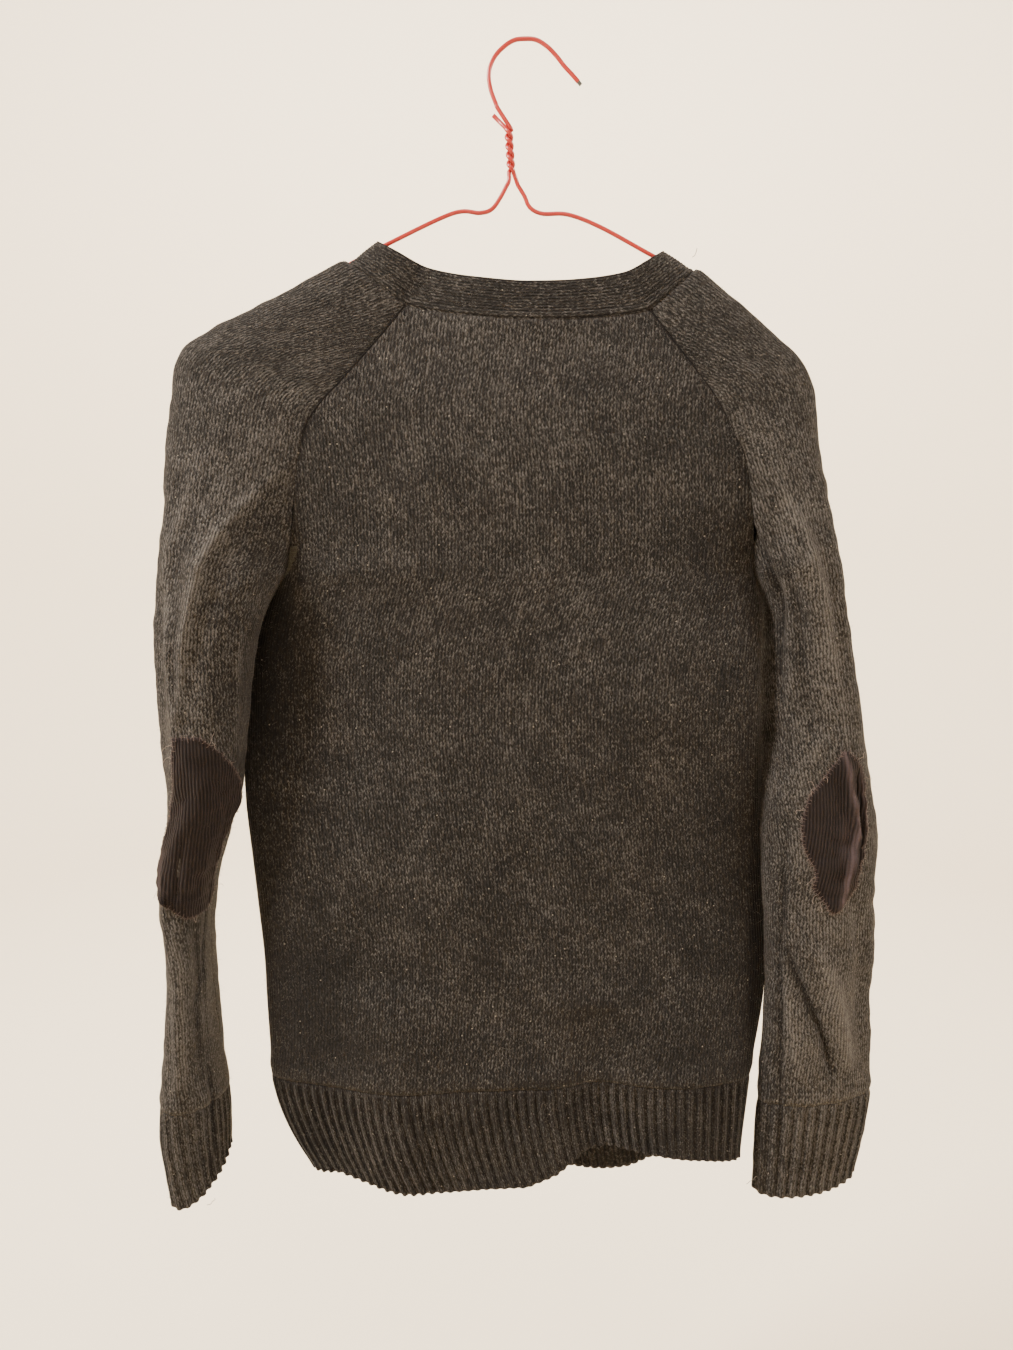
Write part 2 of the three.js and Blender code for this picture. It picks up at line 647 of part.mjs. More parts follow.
function buildNeckband(back, front, left, right) {
  const loop = neckSeam(back, front, left, right);
  const lower = loop.map(({ outer, rise }) => (
    outer.clone().addScaledVector(rise.clone().normalize(), BAND_JOINT)));
  const upper = loop.map(({ outer, rise }) => outer.clone().add(rise));
  const outer = [lower, upper];
  const centre = new THREE.Vector3(0, 0, NECK_CENTRE_HEIGHT);
  const normals = gridNormals(outer, (point) => {
    const away = point.clone().sub(centre).setZ(0);
    away.y *= NECK_FLATNESS;
    return away;
  }, true);
  const inner = outer.map((row, r) => row.map((point, c) => {
    if (r === 1) return point.clone().addScaledVector(normals[r][c], -WALL);
    const through = loop[c].inner.clone().sub(loop[c].outer);
    return point.clone().add(through);
  }));
  addPiece('neckband', wallGeometry(outer, inner, true), ribWool);
}

// A patch lies on the sleeve: its points are points of the sleeve, moved out by clearance
function buildPatch(name, table, sleeve, clearance) {
  const first = table[0].row;
  const last = table[table.length - 1].row;
  const lay = (row, degrees, lift) => {
    const whole = Math.min(Math.floor(row), sleeve.outer.length - 2);
    const across = ((degrees / 180 + 1) / 2) * SLEEVE_COLUMNS;
    const column = Math.floor(across);
    const blend = (grid) => {
      const near = grid[whole][column].clone().lerp(grid[whole][column + 1], across - column);
      const far = grid[whole + 1][column].clone().lerp(grid[whole + 1][column + 1], across - column);
      return near.lerp(far, row - whole);
    };
    return blend(sleeve.outer).addScaledVector(blend(sleeve.normals).normalize(), lift);
  };
  const steps = Math.round((last - first) * PATCH_STEPS_PER_ROW);
  const layer = (lift) => Array.from({ length: steps + 1 }, (_, r) => {
    const row = Math.min(first + r / PATCH_STEPS_PER_ROW, last);
    const from = readTable(table, 'row', 'from', row);
    const to = readTable(table, 'row', 'to', row);
    return Array.from({ length: PATCH_COLUMNS + 1 }, (unused, c) => (
      lay(row, mix(from, to, c / PATCH_COLUMNS), lift)));
  });
  addPiece(name, wallGeometry(layer(clearance + PATCH_WALL), layer(clearance)), corduroy);
}

// A route that passes straight through its own stations, which lie closer in the bends
class WireRoute extends THREE.Curve {
  constructor(stations) {
    super();
    this.stations = stations;
  }

  getPoint(t, target = new THREE.Vector3()) {
    const place = t * (this.stations.length - 1);
    const before = Math.min(Math.floor(place), this.stations.length - 2);
    return target.copy(this.stations[before]).lerp(this.stations[before + 1], place - before);
  }

  getUtoTmapping(u) {
    return u;
  }
}

function buildWire(name, stations) {
  const section = new THREE.Shape();
  for (let side = 0; side < WIRE_SIDES; side += 1) {
    const angle = (side / WIRE_SIDES) * Math.PI * 2;
    const corner = [Math.cos(angle) * WIRE_DIAMETER / 2, Math.sin(angle) * WIRE_DIAMETER / 2];
    if (side === 0) section.moveTo(...corner);
    else section.lineTo(...corner);
  }
  section.closePath();
  const geometry = new THREE.ExtrudeGeometry(section, {
    steps: stations.length - 1, extrudePath: new WireRoute(stations), bevelEnabled: false,
  });
  addPiece(name, geometry, coatedWire);
}

const inPlane = ([x, height]) => new THREE.Vector3(x, 0, height);

function smoothRoute(points, count) {
  return new THREE.CatmullRomCurve3(points.map(inPlane), false, 'centripetal').getSpacedPoints(count);
}

// One strand of the twist, from its top down to its bottom
function twistStrand(startDegrees) {
  const steps = TWIST_TURNS * WIRE_SIDES;
  return Array.from({ length: steps + 1 }, (_, i) => {
    const share = i / steps;
    const angle = radians(startDegrees + share * TWIST_TURNS * 360);
    const axis = mix(TWIST_AXIS_TOP, TWIST_AXIS_BOTTOM, share);
    return new THREE.Vector3(
      axis + TWIST_RADIUS * Math.cos(angle),
      TWIST_RADIUS * Math.sin(angle),
      mix(TWIST_TOP, TWIST_BOTTOM, share),
    );
  });
}

function cornerRoute({ centre, radius, from, to }) {
  return Array.from({ length: CORNER_STATIONS }, (_, i) => {
    const angle = radians(mix(from, to, i / (CORNER_STATIONS - 1)));
    return new THREE.Vector3(
      centre[0] + radius * Math.cos(angle),
      0,
      centre[1] + radius * Math.sin(angle),
    );
  });
}

function buildHanger() {
  buildWire('hanger_hook', [
    ...smoothRoute(HOOK_ROUTE, 26),
    ...twistStrand(0),
    ...HOOK_END.map(inPlane),
  ]);
  buildWire('hanger_frame', [
    ...smoothRoute(LEFT_NECK_ROUTE, 8),
    ...cornerRoute(LEFT_CORNER),
    ...cornerRoute(RIGHT_CORNER),
    ...smoothRoute(RIGHT_ARM, 6),
    ...smoothRoute(RIGHT_NECK_ROUTE, 6),
    ...twistStrand(180).reverse(),
    inPlane(CUT_END),
  ]);
}

const back = buildPanel('back');
const front = buildPanel('front');
const left = buildSleeve(
  'sleeve_left', LEFT_RAGLAN, LEFT_SLEEVE, LEFT_FOLDS, SEAMS.leftBack, SEAMS.leftFront,
);
const right = buildSleeve(
  'sleeve_right', RIGHT_RAGLAN, RIGHT_SLEEVE, RIGHT_FOLDS, SEAMS.rightBack, SEAMS.rightFront,
);
buildHem('back');
buildHem('front');
buildCuff('cuff_left', LEFT_CUFF);
buildCuff('cuff_right', RIGHT_CUFF);
buildNeckband(back, front, left, right);
buildPatch('elbow_patch_left', LEFT_PATCH, left, LEFT_PATCH_LIFT);
buildPatch('elbow_patch_right', RIGHT_PATCH, right, RIGHT_PATCH_LIFT);
buildHanger();

export default group;
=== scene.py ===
"""Looks of a darned raglan pullover that hangs on a plastic-coated wire hanger.

Each piece of cloth is a thin shell laid through the garment's own sections, with its
folds, ribs and seams raised, and finished as the real cloth is.
"""

import math

import bmesh
import bpy
import numpy as np
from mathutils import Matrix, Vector


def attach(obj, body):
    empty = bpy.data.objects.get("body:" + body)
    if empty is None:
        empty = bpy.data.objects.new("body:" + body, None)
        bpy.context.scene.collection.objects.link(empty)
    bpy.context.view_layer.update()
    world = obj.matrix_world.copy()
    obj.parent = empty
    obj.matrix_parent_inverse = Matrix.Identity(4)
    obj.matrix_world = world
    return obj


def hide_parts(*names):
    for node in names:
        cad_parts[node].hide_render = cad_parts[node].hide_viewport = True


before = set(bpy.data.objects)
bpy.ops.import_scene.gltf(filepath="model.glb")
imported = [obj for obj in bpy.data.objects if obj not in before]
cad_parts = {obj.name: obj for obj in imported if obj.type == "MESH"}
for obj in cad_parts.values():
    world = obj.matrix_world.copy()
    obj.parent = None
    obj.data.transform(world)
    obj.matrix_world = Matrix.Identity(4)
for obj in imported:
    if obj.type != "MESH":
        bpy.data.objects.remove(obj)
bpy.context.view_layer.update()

bl_info = {
    "name": "Darned wool pullover",
    "version": (1, 0, 0),
    "blender": (4, 5, 0),
    "location": "View3D > Sidebar > Pullover",
    "description": "Builds a worn raglan pullover with elbow patches on a wire hanger",
    "category": "Object",
}

MM = 0.001
BODY = "root"
ARMPIT_ROW = 8
SEED = 11

# Raglan rows from the neckband to the armpit, in millimetres. Columns: top of the
# shoulder x y z, back seam x y z, front seam x y z, back bow, front bow, turn in degrees.
LEFT_RAGLAN = [
    (-122, 0, -137.5, -80, -9, -168, -103, 9, -167, 14, 13, 100),
    (-152, 0, -153, -96, -13, -188, -112, 11, -183, 17, 15, 100),
    (-187, 0, -170, -110, -16, -204, -122, 13, -200, 20, 18, 100),
    (-216, 0, -184, -125, -19, -221, -132, 15, -219, 23, 21, 100),
    (-235, 0, -198, -138, -21, -235, -142, 17, -238, 26, 24, 100),
    (-243, 0, -223, -148, -22, -252, -150, 18, -259, 28, 26, 104),
    (-247, -2, -257, -154, -22, -280, -156, 18, -284, 31, 29, 115),
    (-249.5, -4, -298, -159, -17, -316, -161, 12, -318, 34, 32, 140),
    (-253.5, -6, -339, -165, -4, -347, -165, -4, -347, 37, 35, 180),
]
RIGHT_RAGLAN = [
    (117, 0, -143, 84, -9, -171, 102, 9, -169, 14, 13, 100),
    (134, 0, -156, 97, -13, -189, 110, 11, -185, 17, 15, 100),
    (154, 0, -172, 108, -16, -203, 119, 13, -201, 20, 18, 100),
    (174, 0, -189, 119, -18, -217, 128, 15, -219, 22, 20, 100),
    (191, 0, -205, 128, -20, -230, 137, 17, -237, 25, 23, 100),
    (199.5, 0, -229, 138, -21, -248, 146, 18, -257, 27, 25, 104),
    (205, 0, -264, 149, -22, -270, 153, 18, -282, 29, 27, 115),
    (211, 0, -298, 157, -16, -312, 159, 14, -316, 32, 30, 140),
    (219, 0, -333, 162, 2, -348, 162, 2, -348, 34, 32, 180),
]
# Sleeve rows below the armpit. Columns: outer edge x y z, inner edge x y z, back depth,
# front depth. The last row of a sleeve is the first of its cuff.
LEFT_TUBE = [
    (-255.5, -6, -367, -177, -10, -367, 38, 36),
    (-257.5, -6, -396, -188, -12, -395, 39, 37),
    (-257, -6, -431, -193, -12, -430, 40, 38),
    (-255.5, -6, -471, -198, -12, -470, 41, 38),
    (-254, -6, -508, -204, -10, -507, 41, 38),
    (-256.5, -6, -534, -213, -8, -534, 40, 38),
    (-261, -6, -564, -222, -6, -564, 39, 37),
    (-262, -8, -590, -228, -4, -592, 38, 36),
    (-258, -10, -621, -231, -2, -623, 37, 35),
    (-260, -12, -662, -230, 0, -666, 36, 34),
    (-264, -14, -700, -228, 2, -706, 34, 32),
    (-267, -16, -735, -226, 4, -739, 32, 30),
    (-268, -18, -766, -225, 6, -764, 30, 28),
    (-262, -20, -803, -226, 8, -791, 28, 26),
]
RIGHT_TUBE = [
    (225, 0, -368, 172, 9, -372, 35, 33),
    (232, 0, -403, 171, 15, -408, 36, 34),
    (240, 0, -440, 171, 15, -445, 36, 34),
    (247, 2, -480, 174, 8, -485, 36, 33),
    (257, 4, -522, 173, 4, -522, 35, 32),
    (260, 6, -549, 174, 2, -552, 34, 31),
    (260, 6, -592, 177, 0, -589, 31, 28),
    (261, 6, -631, 179, -4, -626, 28, 26),
    (260, 6, -670, 179, -6, -665, 25, 23),
    (262, 6, -711, 178, -8, -703, 22, 20),
    (265, 6, -739, 176, -10, -740, 19, 17),
    (263, 6, -768, 175, -10, -770, 17, 15),
    (256, 6, -808, 175, -10, -812, 15, 13),
]
CUFF_ROWS = 2
# How much lower the back half of a sleeve hangs, as rows and millimetres
DROOP = {"left": ((21, 22), (0, 14)), "right": ((20, 21), (0, 5))}
# Body rows below the armpits. Columns: height, left x y, right x y, back and front depth.
BODY_ROWS = [
    (-372, -186, 16, 170, 8, 37, 18.5),
    (-403, -197, 19, 168, 0, 34, 20),
    (-440, -202, 20, 169, -2, 33, 20),
    (-473, -204.5, 17, 171.5, 5, 34.5, 19),
    (-513, -203, 10, 175, 13, 35.5, 20),
    (-551, -198, 3, 177.5, 16, 35, 21.5),
    (-589, -194, 0, 180.5, 16, 34.5, 22.5),
    (-628, -191, 0, 182.5, 12, 33.5, 24.5),
    (-668, -190, 0, 180, 8, 34.5, 25.5),
    (-720, -188, 0, 169.5, -2, 34, 28.5),
]
HEM_TOP = -720
HEM_END = (-158, 0, 164, -2, 38, 28)
V_POINT_HEIGHT = -320
UPPER_BULGE = {"back": (8, 5, 4, 4, 4, 4, 5, 10, 25), "front": (11, 9, 8, 7, 7, 7, 8, 13, 26)}
UPPER_FOLD = (0, 0, 0, 0, 0, 0, 0.15, 0.5, 0.9)
BACK_NECK_DIP = (9, 6, 3, 1, 0, 0, 0, 0, 0)
# Free edge of the hem. Columns: share of the way across, height.
HEM_EDGE = {
    "back": [
        (0, -794), (0.07, -788), (0.14, -792), (0.22, -797), (0.36, -796), (0.5, -793),
        (0.57, -784), (0.63, -770), (0.68, -767), (0.8, -771), (0.9, -777), (1, -785),
    ],
    "front": [(0, -794), (0.3, -801), (0.6, -808), (0.75, -806), (0.87, -796), (1, -785)],
}
# Folds of the body. Columns: x at each end, height at each end, width, rise.
BODY_FOLDS = {
    "back": [
        (-95, -88, -640, -830, 34, 10),
        (52, 62, -660, -830, 26, -12),
        (118, 122, -640, -830, 24, 3),
        (-110, -30, -330, -600, 26, 2.5),
        (112, 60, -330, -560, 24, 2.5),
        (-150, -60, -360, -520, 12, -1.6),
        (20, 0, -420, -760, 16, -1.2),
        (-60, -70, -430, -700, 15, 1.2),
        (95, 105, -400, -690, 15, -1.3),
        (140, 120, -350, -480, 9, -1.4),
    ],
    "front": [
        (62, 60, -660, -900, 44, -20),
        (-60, -80, -560, -830, 34, 5),
        (-118, -40, -330, -560, 22, 2.4),
        (118, 40, -340, -580, 24, 2.4),
        (-140, -70, -350, -500, 12, -1.6),
        (10, 20, -430, -760, 16, -1.4),
        (-90, -100, -420, -700, 16, -1.2),
        (95, 80, -420, -650, 14, 1.3),
    ],
}
# Folds of the sleeves. Columns: first and last row, degrees at each, width, rise.
SLEEVE_FOLDS = {
    "left": [
        (6, 12.5, -34, -40, 13, 3.2),
        (6.5, 12.5, -76, -62, 13, 3.4),
        (7, 12.5, -54, -52, 10, -2.4),
        (8, 13, 60, 52, 14, 3),
        (14, 20, -60, -95, 15, 3),
        (14, 20, -95, -60, 12, -2.4),
        (6.8, 11, -20, -22, 7, -1.4),
        (7.2, 11.6, -104, -96, 11, -2),
        (6.6, 9.4, -124, -160, 12, -2.6),
        (8, 12, 100, 84, 14, -2.2),
        (15.6, 19.6, -122, -118, 10, 1.8),
        (14.6, 18, 60, 100, 14, 2.2),
    ],
    "right": [
        (6, 12.5, -40, -44, 16, 3),
        (9, 14, -95, -80, 18, -3),
        (14.5, 18.5, -62, -30, 14, -3.4),
        (14, 19, -40, -12, 14, 2.6),
        (8, 13, 50, 48, 15, 3),
        (7, 11.6, -66, -62, 12, -1.8),
        (6.8, 9.6, -118, -150, 12, -2.4),
        (15.4, 19.4, -120, -96, 11, 1.6),
        (14.4, 18.4, 70, 110, 14, 2.2),
        (8.4, 12.4, 92, 80, 14, -2),
    ],
}
# Sharp creases of the sleeves. Each has width in degrees, rise and its row and degrees.
CREASES = {
    "left": [
        (4.5, 1.7, [(6.2, -60), (6.9, -57), (8, -46), (9.7, -58), (11, -66), (11.8, -70)]),
        (5, 1.9, [(5.9, -106), (6.4, -101), (8, -81), (9.2, -82), (10.7, -80), (11.8, -72)]),
        (7, -1.3, [(7, -72), (8, -63), (9.5, -70), (11.3, -73)]),
        (6, 1.0, [(9.6, -142), (10.6, -147), (11.8, -154)]),
        (10, 1.5, [(15.8, -92), (16.4, -94), (17.1, -109), (17.6, -101), (18.2, -104), (19.4, -90)]),
        (9, -1.5, [(15.9, -130), (16.6, -135), (17.4, -140), (17.8, -127), (18.4, -125), (19.6, -128)]),
        (5, -1.4, [(19, -142), (19.7, -141), (20.8, -139), (21.5, -130), (22.2, -125)]),
        (4, -0.7, [(12, -176), (13, -150), (16, -158), (19, -143)]),
    ],
    "right": [
        (6, 1.5, [(5.8, -104), (6.3, -99), (7.4, -84), (8.9, -77), (10.5, -66), (11.9, -60)]),
        (4.5, -1.5, [(6.4, -158), (6.8, -154), (7.8, -142), (9.6, -138), (10.8, -130)]),
        (9, -1.6, [(7.2, -118), (8.6, -116), (10.2, -108), (11.6, -100)]),
        (4, -1.4, [(12.6, -132), (14.6, -138), (15.9, -146), (18.2, -138), (19.4, -134), (21, -125)]),
        (5, -2.6, [(15.7, -136), (16.1, -129), (16.8, -109), (17.2, -98), (17.6, -89), (18.3, -80)]),
        (9, 2.2, [(15.6, -104), (16.4, -84), (17.2, -72), (18.2, -62)]),
        (7, 1.1, [(15.6, -152), (17, -128), (18.4, -112)]),
    ],
}
# Outline of the elbow patches. Columns: sleeve row, degrees where it begins and ends.
PATCHES = {
    "left": [
        (11.66, -104, -70), (11.8, -117, -69), (12, -134, -68), (12.36, -156, -67),
        (12.64, -170, -64), (13, -177, -59), (13.5, -175, -52), (14, -165, -41),
        (14.4, -165, -18), (14.9, -164, -6), (15.2, -169, -22), (15.46, -172, -66),
        (15.7, -171, -95), (15.86, -157, -112), (15.92, -130, -118),
    ],
    "right": [
        (11.74, -72, -62), (12, -84, -50), (12.3, -102, -44), (12.6, -112, -43), (13, -117, -50),
        (13.35, -118, -53), (13.72, -116, -55), (14.02, -108, -58), (14.28, -106, -61),
        (14.5, -107, -64), (14.68, -101, -71), (14.86, -94, -79), (14.96, -90, -85),
    ],
}
# How the neckband's free edge stands from its seam at the stations round the neck.
BAND_RISE = {
    "back_left": (10, 1, 25.5),
    "back_middle": (0, 2, 24),
    "back_right": (-11, 1, 26),
    "right_shoulder": (-23, 0, 11),
    "right_front": (-20.5, 0, 14),
    "point": (0, 0, 44.5),
    "left_front": (20.5, 0, 14),
    "left_shoulder": (22, 0, 12),
}
# Wire routes in the plane of the hanger. Columns: x, height.
HOOK_ROUTE = [
    (37, -27), (31.5, -21), (26, -15.5), (20.5, -9), (14.5, -3.4), (7.5, 0.6), (0, 1.3), (-7.5, 0.3),
    (-14.5, -4), (-20.5, -10.5), (-23.8, -19.5), (-22.6, -30), (-18, -41.5),
]
LEFT_NECK_ROUTE = [(-12, -90), (-16.5, -98), (-22, -105), (-30, -107.5), (-49, -108), (-95, -128.6)]
RIGHT_NECK_ROUTE = [(51, -116.5), (29, -108.5), (12, -108), (3.5, -104), (0, -97), (-4.5, -90)]
RIGHT_ARM = [(152, -177.6), (119, -151.8), (84, -133.6)]
# Bent corners of the hanger. Columns: centre x, height, radius, first and last degrees.
LEFT_CORNER = (-217, -200, 8, 117, 270)
RIGHT_CORNER = (179, -213, 8, -90, 50)
CUT_END = (-21, -46)
HOOK_END = [(-10.3, -85), (-10.9, -88), (-12, -90)]
WIRE_RADIUS = 1.45
TWIST = {"top": -54, "bottom": -82, "axis_top": -11, "axis_bottom": -9, "radius": 1.55, "turns": 2.5}
# Steps down and across of the laid cloths
GRIDS = {"back": (190, 150), "front": (140, 116), "sleeve": (210, 104), "patch": (76, 230)}
RIB_ROWS = {"hem": 22, "cuff": 26}
STEPS_PER_RIB = 8
# How much the sharp creases of the tables are raised, so that they read in soft light
CREASE_STRENGTH = 2
# Worn pale creases of the patches. Columns: first and last share down, degrees at each,
# width in degrees, strength.
PATCH_WEAR = {
    "left": [(0.5, 0.95, -44, -48, 12, 0.3)],
    "right": [
        (-0.1, 0.55, -70, -62, 2.4, 0.6), (0.35, 1.05, -62, -84, 2.6, 0.6),
        (0.3, 0.75, -74, -80, 5, 0.2), (0.06, 0.8, -50, -54, 2, 0.4),
    ],
}
# Degrees that one wale of the cord follows from a patch's top to its bottom
CORD_GRAIN = {"left": (-90, -112), "right": (-67, -88)}
# The cord is about 1.5 mm wide, drawn a little wider so that it shows
CORD_WALE = 2.2
# Creases of the patches, as those of the sleeves
PATCH_CREASES = {
    "left": [
        (9, -0.8, [(12.7, -160), (12.8, -70)]),
        (5, 0.9, [(14.3, -60), (15.6, -74)]),
        (8, -1.0, [(13.6, -88), (15.4, -96)]),
        (10, 0.7, [(13.4, -130), (15.4, -138)]),
    ],
    "right": [
        (4.5, 2.4, [(11.7, -66), (12.3, -66), (13.4, -64), (14.2, -72), (15, -84)]),
        (3, -1.3, [(12, -56), (13, -58), (14.4, -68)]),
        (3, 0.9, [(12.1, -48), (13.2, -53), (14.3, -62)]),
        (14, 0.8, [(12.3, -96), (14.6, -92)]),
    ],
}
# Whip stitches round a patch, frayed fibres tried round it, and its loose threads
SEWING = {"whips": 96, "frays": 520, "loose": 9}
# The darn at the left armpit: rows of the back panel, shares across it, yarns each way
DARN = {"rows": (7.35, 8.7), "shares": (0.004, 0.05), "weft": 11, "warp": 8}
# Loose yarn ends. Columns: where it starts, the way it hangs, its length.
LOOSE_ENDS = [
    ((-249, -38, -588), (-0.9, -0.3, -0.1), 5), ((-228, -30, -808), (0.3, -0.3, -1), 7),
    ((176, -16, -800), (-0.8, -0.4, -0.2), 8), ((-181, -6, -628), (-1, -0.4, 0.1), 5),
    ((-178, -8, -664), (-0.9, -0.5, 0.2), 5), ((112, -8, -138), (0.5, -0.3, 0.9), 5),
]
# Nap of loose fibres. Columns: how many, their usual length.
NAP = {
    "back": (20000, 1.6), "front": (9000, 1.6), "sleeve_left": (13000, 1.7),
    "sleeve_right": (13000, 1.7), "hem_rib_back": (4000, 1.3), "hem_rib_front": (2400, 1.3),
    "cuff_left": (2000, 1.3), "cuff_right": (2000, 1.3), "neckband": (4000, 1.3),
}
NAP_WIDTH = 0.045
# The camera's place in millimetres, its tilt in degrees and its lens.
CAMERA = {"place": (-12.2, -719, -320.4), "tilt": 8.0, "lens": 27.04, "sensor": 36.0}
STAGE = {"floor": -1250, "radius": 3200, "height": 4200, "corner": 900}
# Lights in metres and watts. Columns: name, place, what it aims at, size, power.
LIGHTS = [
    ("key", (-1.8, -0.75, 0.9), (0, 0, -0.35), 0.5, 170),
    ("fill", (1.9, -0.6, 0.5), (0, 0, -0.35), 0.7, 62),
    ("ceiling", (0.2, -1.2, 1.7), (0, 0, -0.3), 0.8, 26),
    ("wall_wash", (0, 0.9, 1.6), (0, 3.2, 0.3), 2.0, 230),
]
LIGHT_COLOUR = (1.0, 0.955, 0.89)
ROOM_LIGHT = 0.26

# Materials by what they are, and the laid cloths by their node, filled by the operators
MATERIALS = {}
LAID = {}


class KnitSizes(bpy.types.PropertyGroup):
    """Sizes of the knitted cloth"""

    wall: bpy.props.FloatProperty(
        name="Cloth thickness", description="Thickness of the milled knit",
        default=0.0022, unit="LENGTH",
    )
    wale: bpy.props.FloatProperty(
        name="Wale", description="Width of one column of stitches", default=2.3 * MM, unit="LENGTH",
    )
    course: bpy.props.FloatProperty(
        name="Course", description="Height of one row of stitches", default=1.75 * MM, unit="LENGTH",
    )
    rib_rise: bpy.props.FloatProperty(
        name="Rib rise", description="How far a rib stands from the valley", default=0.0020,
        unit="LENGTH",
    )
    hem_ribs: bpy.props.IntProperty(
        name="Hem ribs", description="Ribs across the back and across the front", default=56,
    )
    cuff_ribs: bpy.props.IntProperty(name="Cuff ribs", description="Ribs round a cuff", default=24)


class Finish(bpy.types.PropertyGroup):
    """Colours of the finishes"""

    dark_wool: bpy.props.FloatVectorProperty(
        name="Dark fibre", description="Darkest fibre of the heather", subtype="COLOR",
        default=(0.0020, 0.0017, 0.0016),
    )
    mid_wool: bpy.props.FloatVectorProperty(
        name="Middle fibre", description="Main fibre of the heather", subtype="COLOR",
        default=(0.0112, 0.0099, 0.0090),
    )
    light_wool: bpy.props.FloatVectorProperty(
        name="Light fibre", description="Lightest fibre of the heather", subtype="COLOR",
        default=(0.072, 0.066, 0.061),
    )
    corduroy: bpy.props.FloatVectorProperty(
        name="Corduroy", description="Colour of the elbow patches", subtype="COLOR",
        default=(0.0142, 0.0102, 0.0096),
    )
    coating: bpy.props.FloatVectorProperty(
        name="Wire coating", description="Colour of the plastic on the wire", subtype="COLOR",
        default=(0.32, 0.005, 0.004),
    )


def linear(code):
    """A colour written as an sRGB hex value, as linear red, green, blue and alpha."""
    parts = [int(code[i : i + 2], 16) / 255 for i in (1, 3, 5)]
    return (*[c / 12.92 if c <= 0.04045 else ((c + 0.055) / 1.055) ** 2.4 for c in parts], 1.0)


def add(tree, kind, inputs=None, **settings):
    """Adds a node with its settings, and its inputs as links or values."""
    node = tree.nodes.new(kind)
    for key, value in settings.items():
        setattr(node, key, value)
    for key, value in (inputs or {}).items():
        if isinstance(value, bpy.types.NodeSocket):
            tree.links.new(value, node.inputs[key])
        else:
            node.inputs[key].default_value = value
    return node


def calculate(tree, operation, *values):
    """The result of one sum on sockets or numbers."""
    return add(tree, "ShaderNodeMath", dict(enumerate(values)), operation=operation).outputs[0]


def noise(tree, place, scale, detail=2.0, roughness=0.5, flat=True):
    """Noise read at a place, in the plane of the cloth or in space."""
    inputs = {"Vector": place, "Scale": scale, "Detail": detail, "Roughness": roughness}
    node = add(tree, "ShaderNodeTexNoise", inputs, noise_dimensions="2D" if flat else "3D")
    return node.outputs[0]


def mix(tree, share, first, second, blend="MIX"):
    """Two colours mixed, or multiplied."""
    inputs = {0: share, 6: first, 7: second}
    return add(tree, "ShaderNodeMix", inputs, data_type="RGBA", blend_type=blend).outputs[2]


def pair(tree, first, second):
    """Two sockets as one place."""
    return add(tree, "ShaderNodeCombineXYZ", {0: first, 1: second}).outputs[0]


def blank_material(name, slot):
    """An empty material that remembers its slot."""
    material = bpy.data.materials.new(name)
    material.use_nodes = True
    material.node_tree.nodes.clear()
    material["slot"] = slot
    return material, material.node_tree


def finish_shader(tree, colour, bump=None, **values):
    """The shader of a material, with its values on the shader's own sockets."""
    inputs = {"Base Color": colour, **{key.replace("_", " "): value for key, value in values.items()}}
    if bump:
        inputs["Normal"] = bump.outputs[0]
    shader = add(tree, "ShaderNodeBsdfPrincipled", inputs)
    add(tree, "ShaderNodeOutputMaterial", {"Surface": shader.outputs[0]})


def relief(tree, height, strength, distance):
    """A bump of a height socket."""
    return add(tree, "ShaderNodeBump", {"Height": height, "Strength": strength, "Distance": distance})


def spline(rows, at):
    """A smooth curve through table rows, read at row numbers."""
    rows = np.asarray(rows, float)
    last = len(rows) - 1
    at = np.clip(at, 0, last)
    first = np.minimum(at.astype(int), last - 1)
    t = (at - first)[..., None]
    a, b = rows[np.maximum(first - 1, 0)], rows[first]
    c, d = rows[first + 1], rows[np.minimum(first + 2, last)]
    curve = 2 * b + (c - a) * t + (2 * a - 5 * b + 4 * c - d) * t**2
    return (curve + (3 * b - a - 3 * c + d) * t**3) / 2


def split_spline(rows, at):
    """The same, with a corner allowed at the armpit row."""
    upper = spline(rows[: ARMPIT_ROW + 1], at)
    lower = spline(rows[ARMPIT_ROW:], at - ARMPIT_ROW)
    return np.where((at < ARMPIT_ROW)[..., None], upper, lower)


def unit(vectors):
    """Vectors with a length of one."""
    return vectors / np.maximum(np.linalg.norm(vectors, axis=-1, keepdims=True), 1e-9)


def hump(off, width):
    """A smooth hump, 1 at its middle and nearly 0 at twice its width."""
    return np.exp(-((off / width) ** 2))


def walked(route):
    """Length walked to each point of a route."""
    return np.concatenate([[0], np.cumsum(np.linalg.norm(np.diff(route, axis=0), axis=1))])


def walked_across(grid):
    """Length walked to each point of a grid, along its rows."""
    steps = np.linalg.norm(np.diff(grid, axis=1), axis=2)
    return np.concatenate([np.zeros((len(grid), 1)), np.cumsum(steps, axis=1)], axis=1)


def read_at(want, known, values):
    """Points read between those that are known."""
    return np.stack([np.interp(want, known, values[:, axis]) for axis in range(3)], -1)


def soft_noise(points, wavelength, seed):
    """Smooth unevenness between about -1 and 1 from a few crossing waves."""
    random = np.random.default_rng(seed)
    total = np.zeros(points.shape[:-1])
    for _ in range(14):
        way = unit(random.normal(size=3)) * 2 * math.pi / (wavelength * random.uniform(0.7, 1.5))
        total += np.sin(points @ way + random.uniform(0, 2 * math.pi))
    return total / 3.8


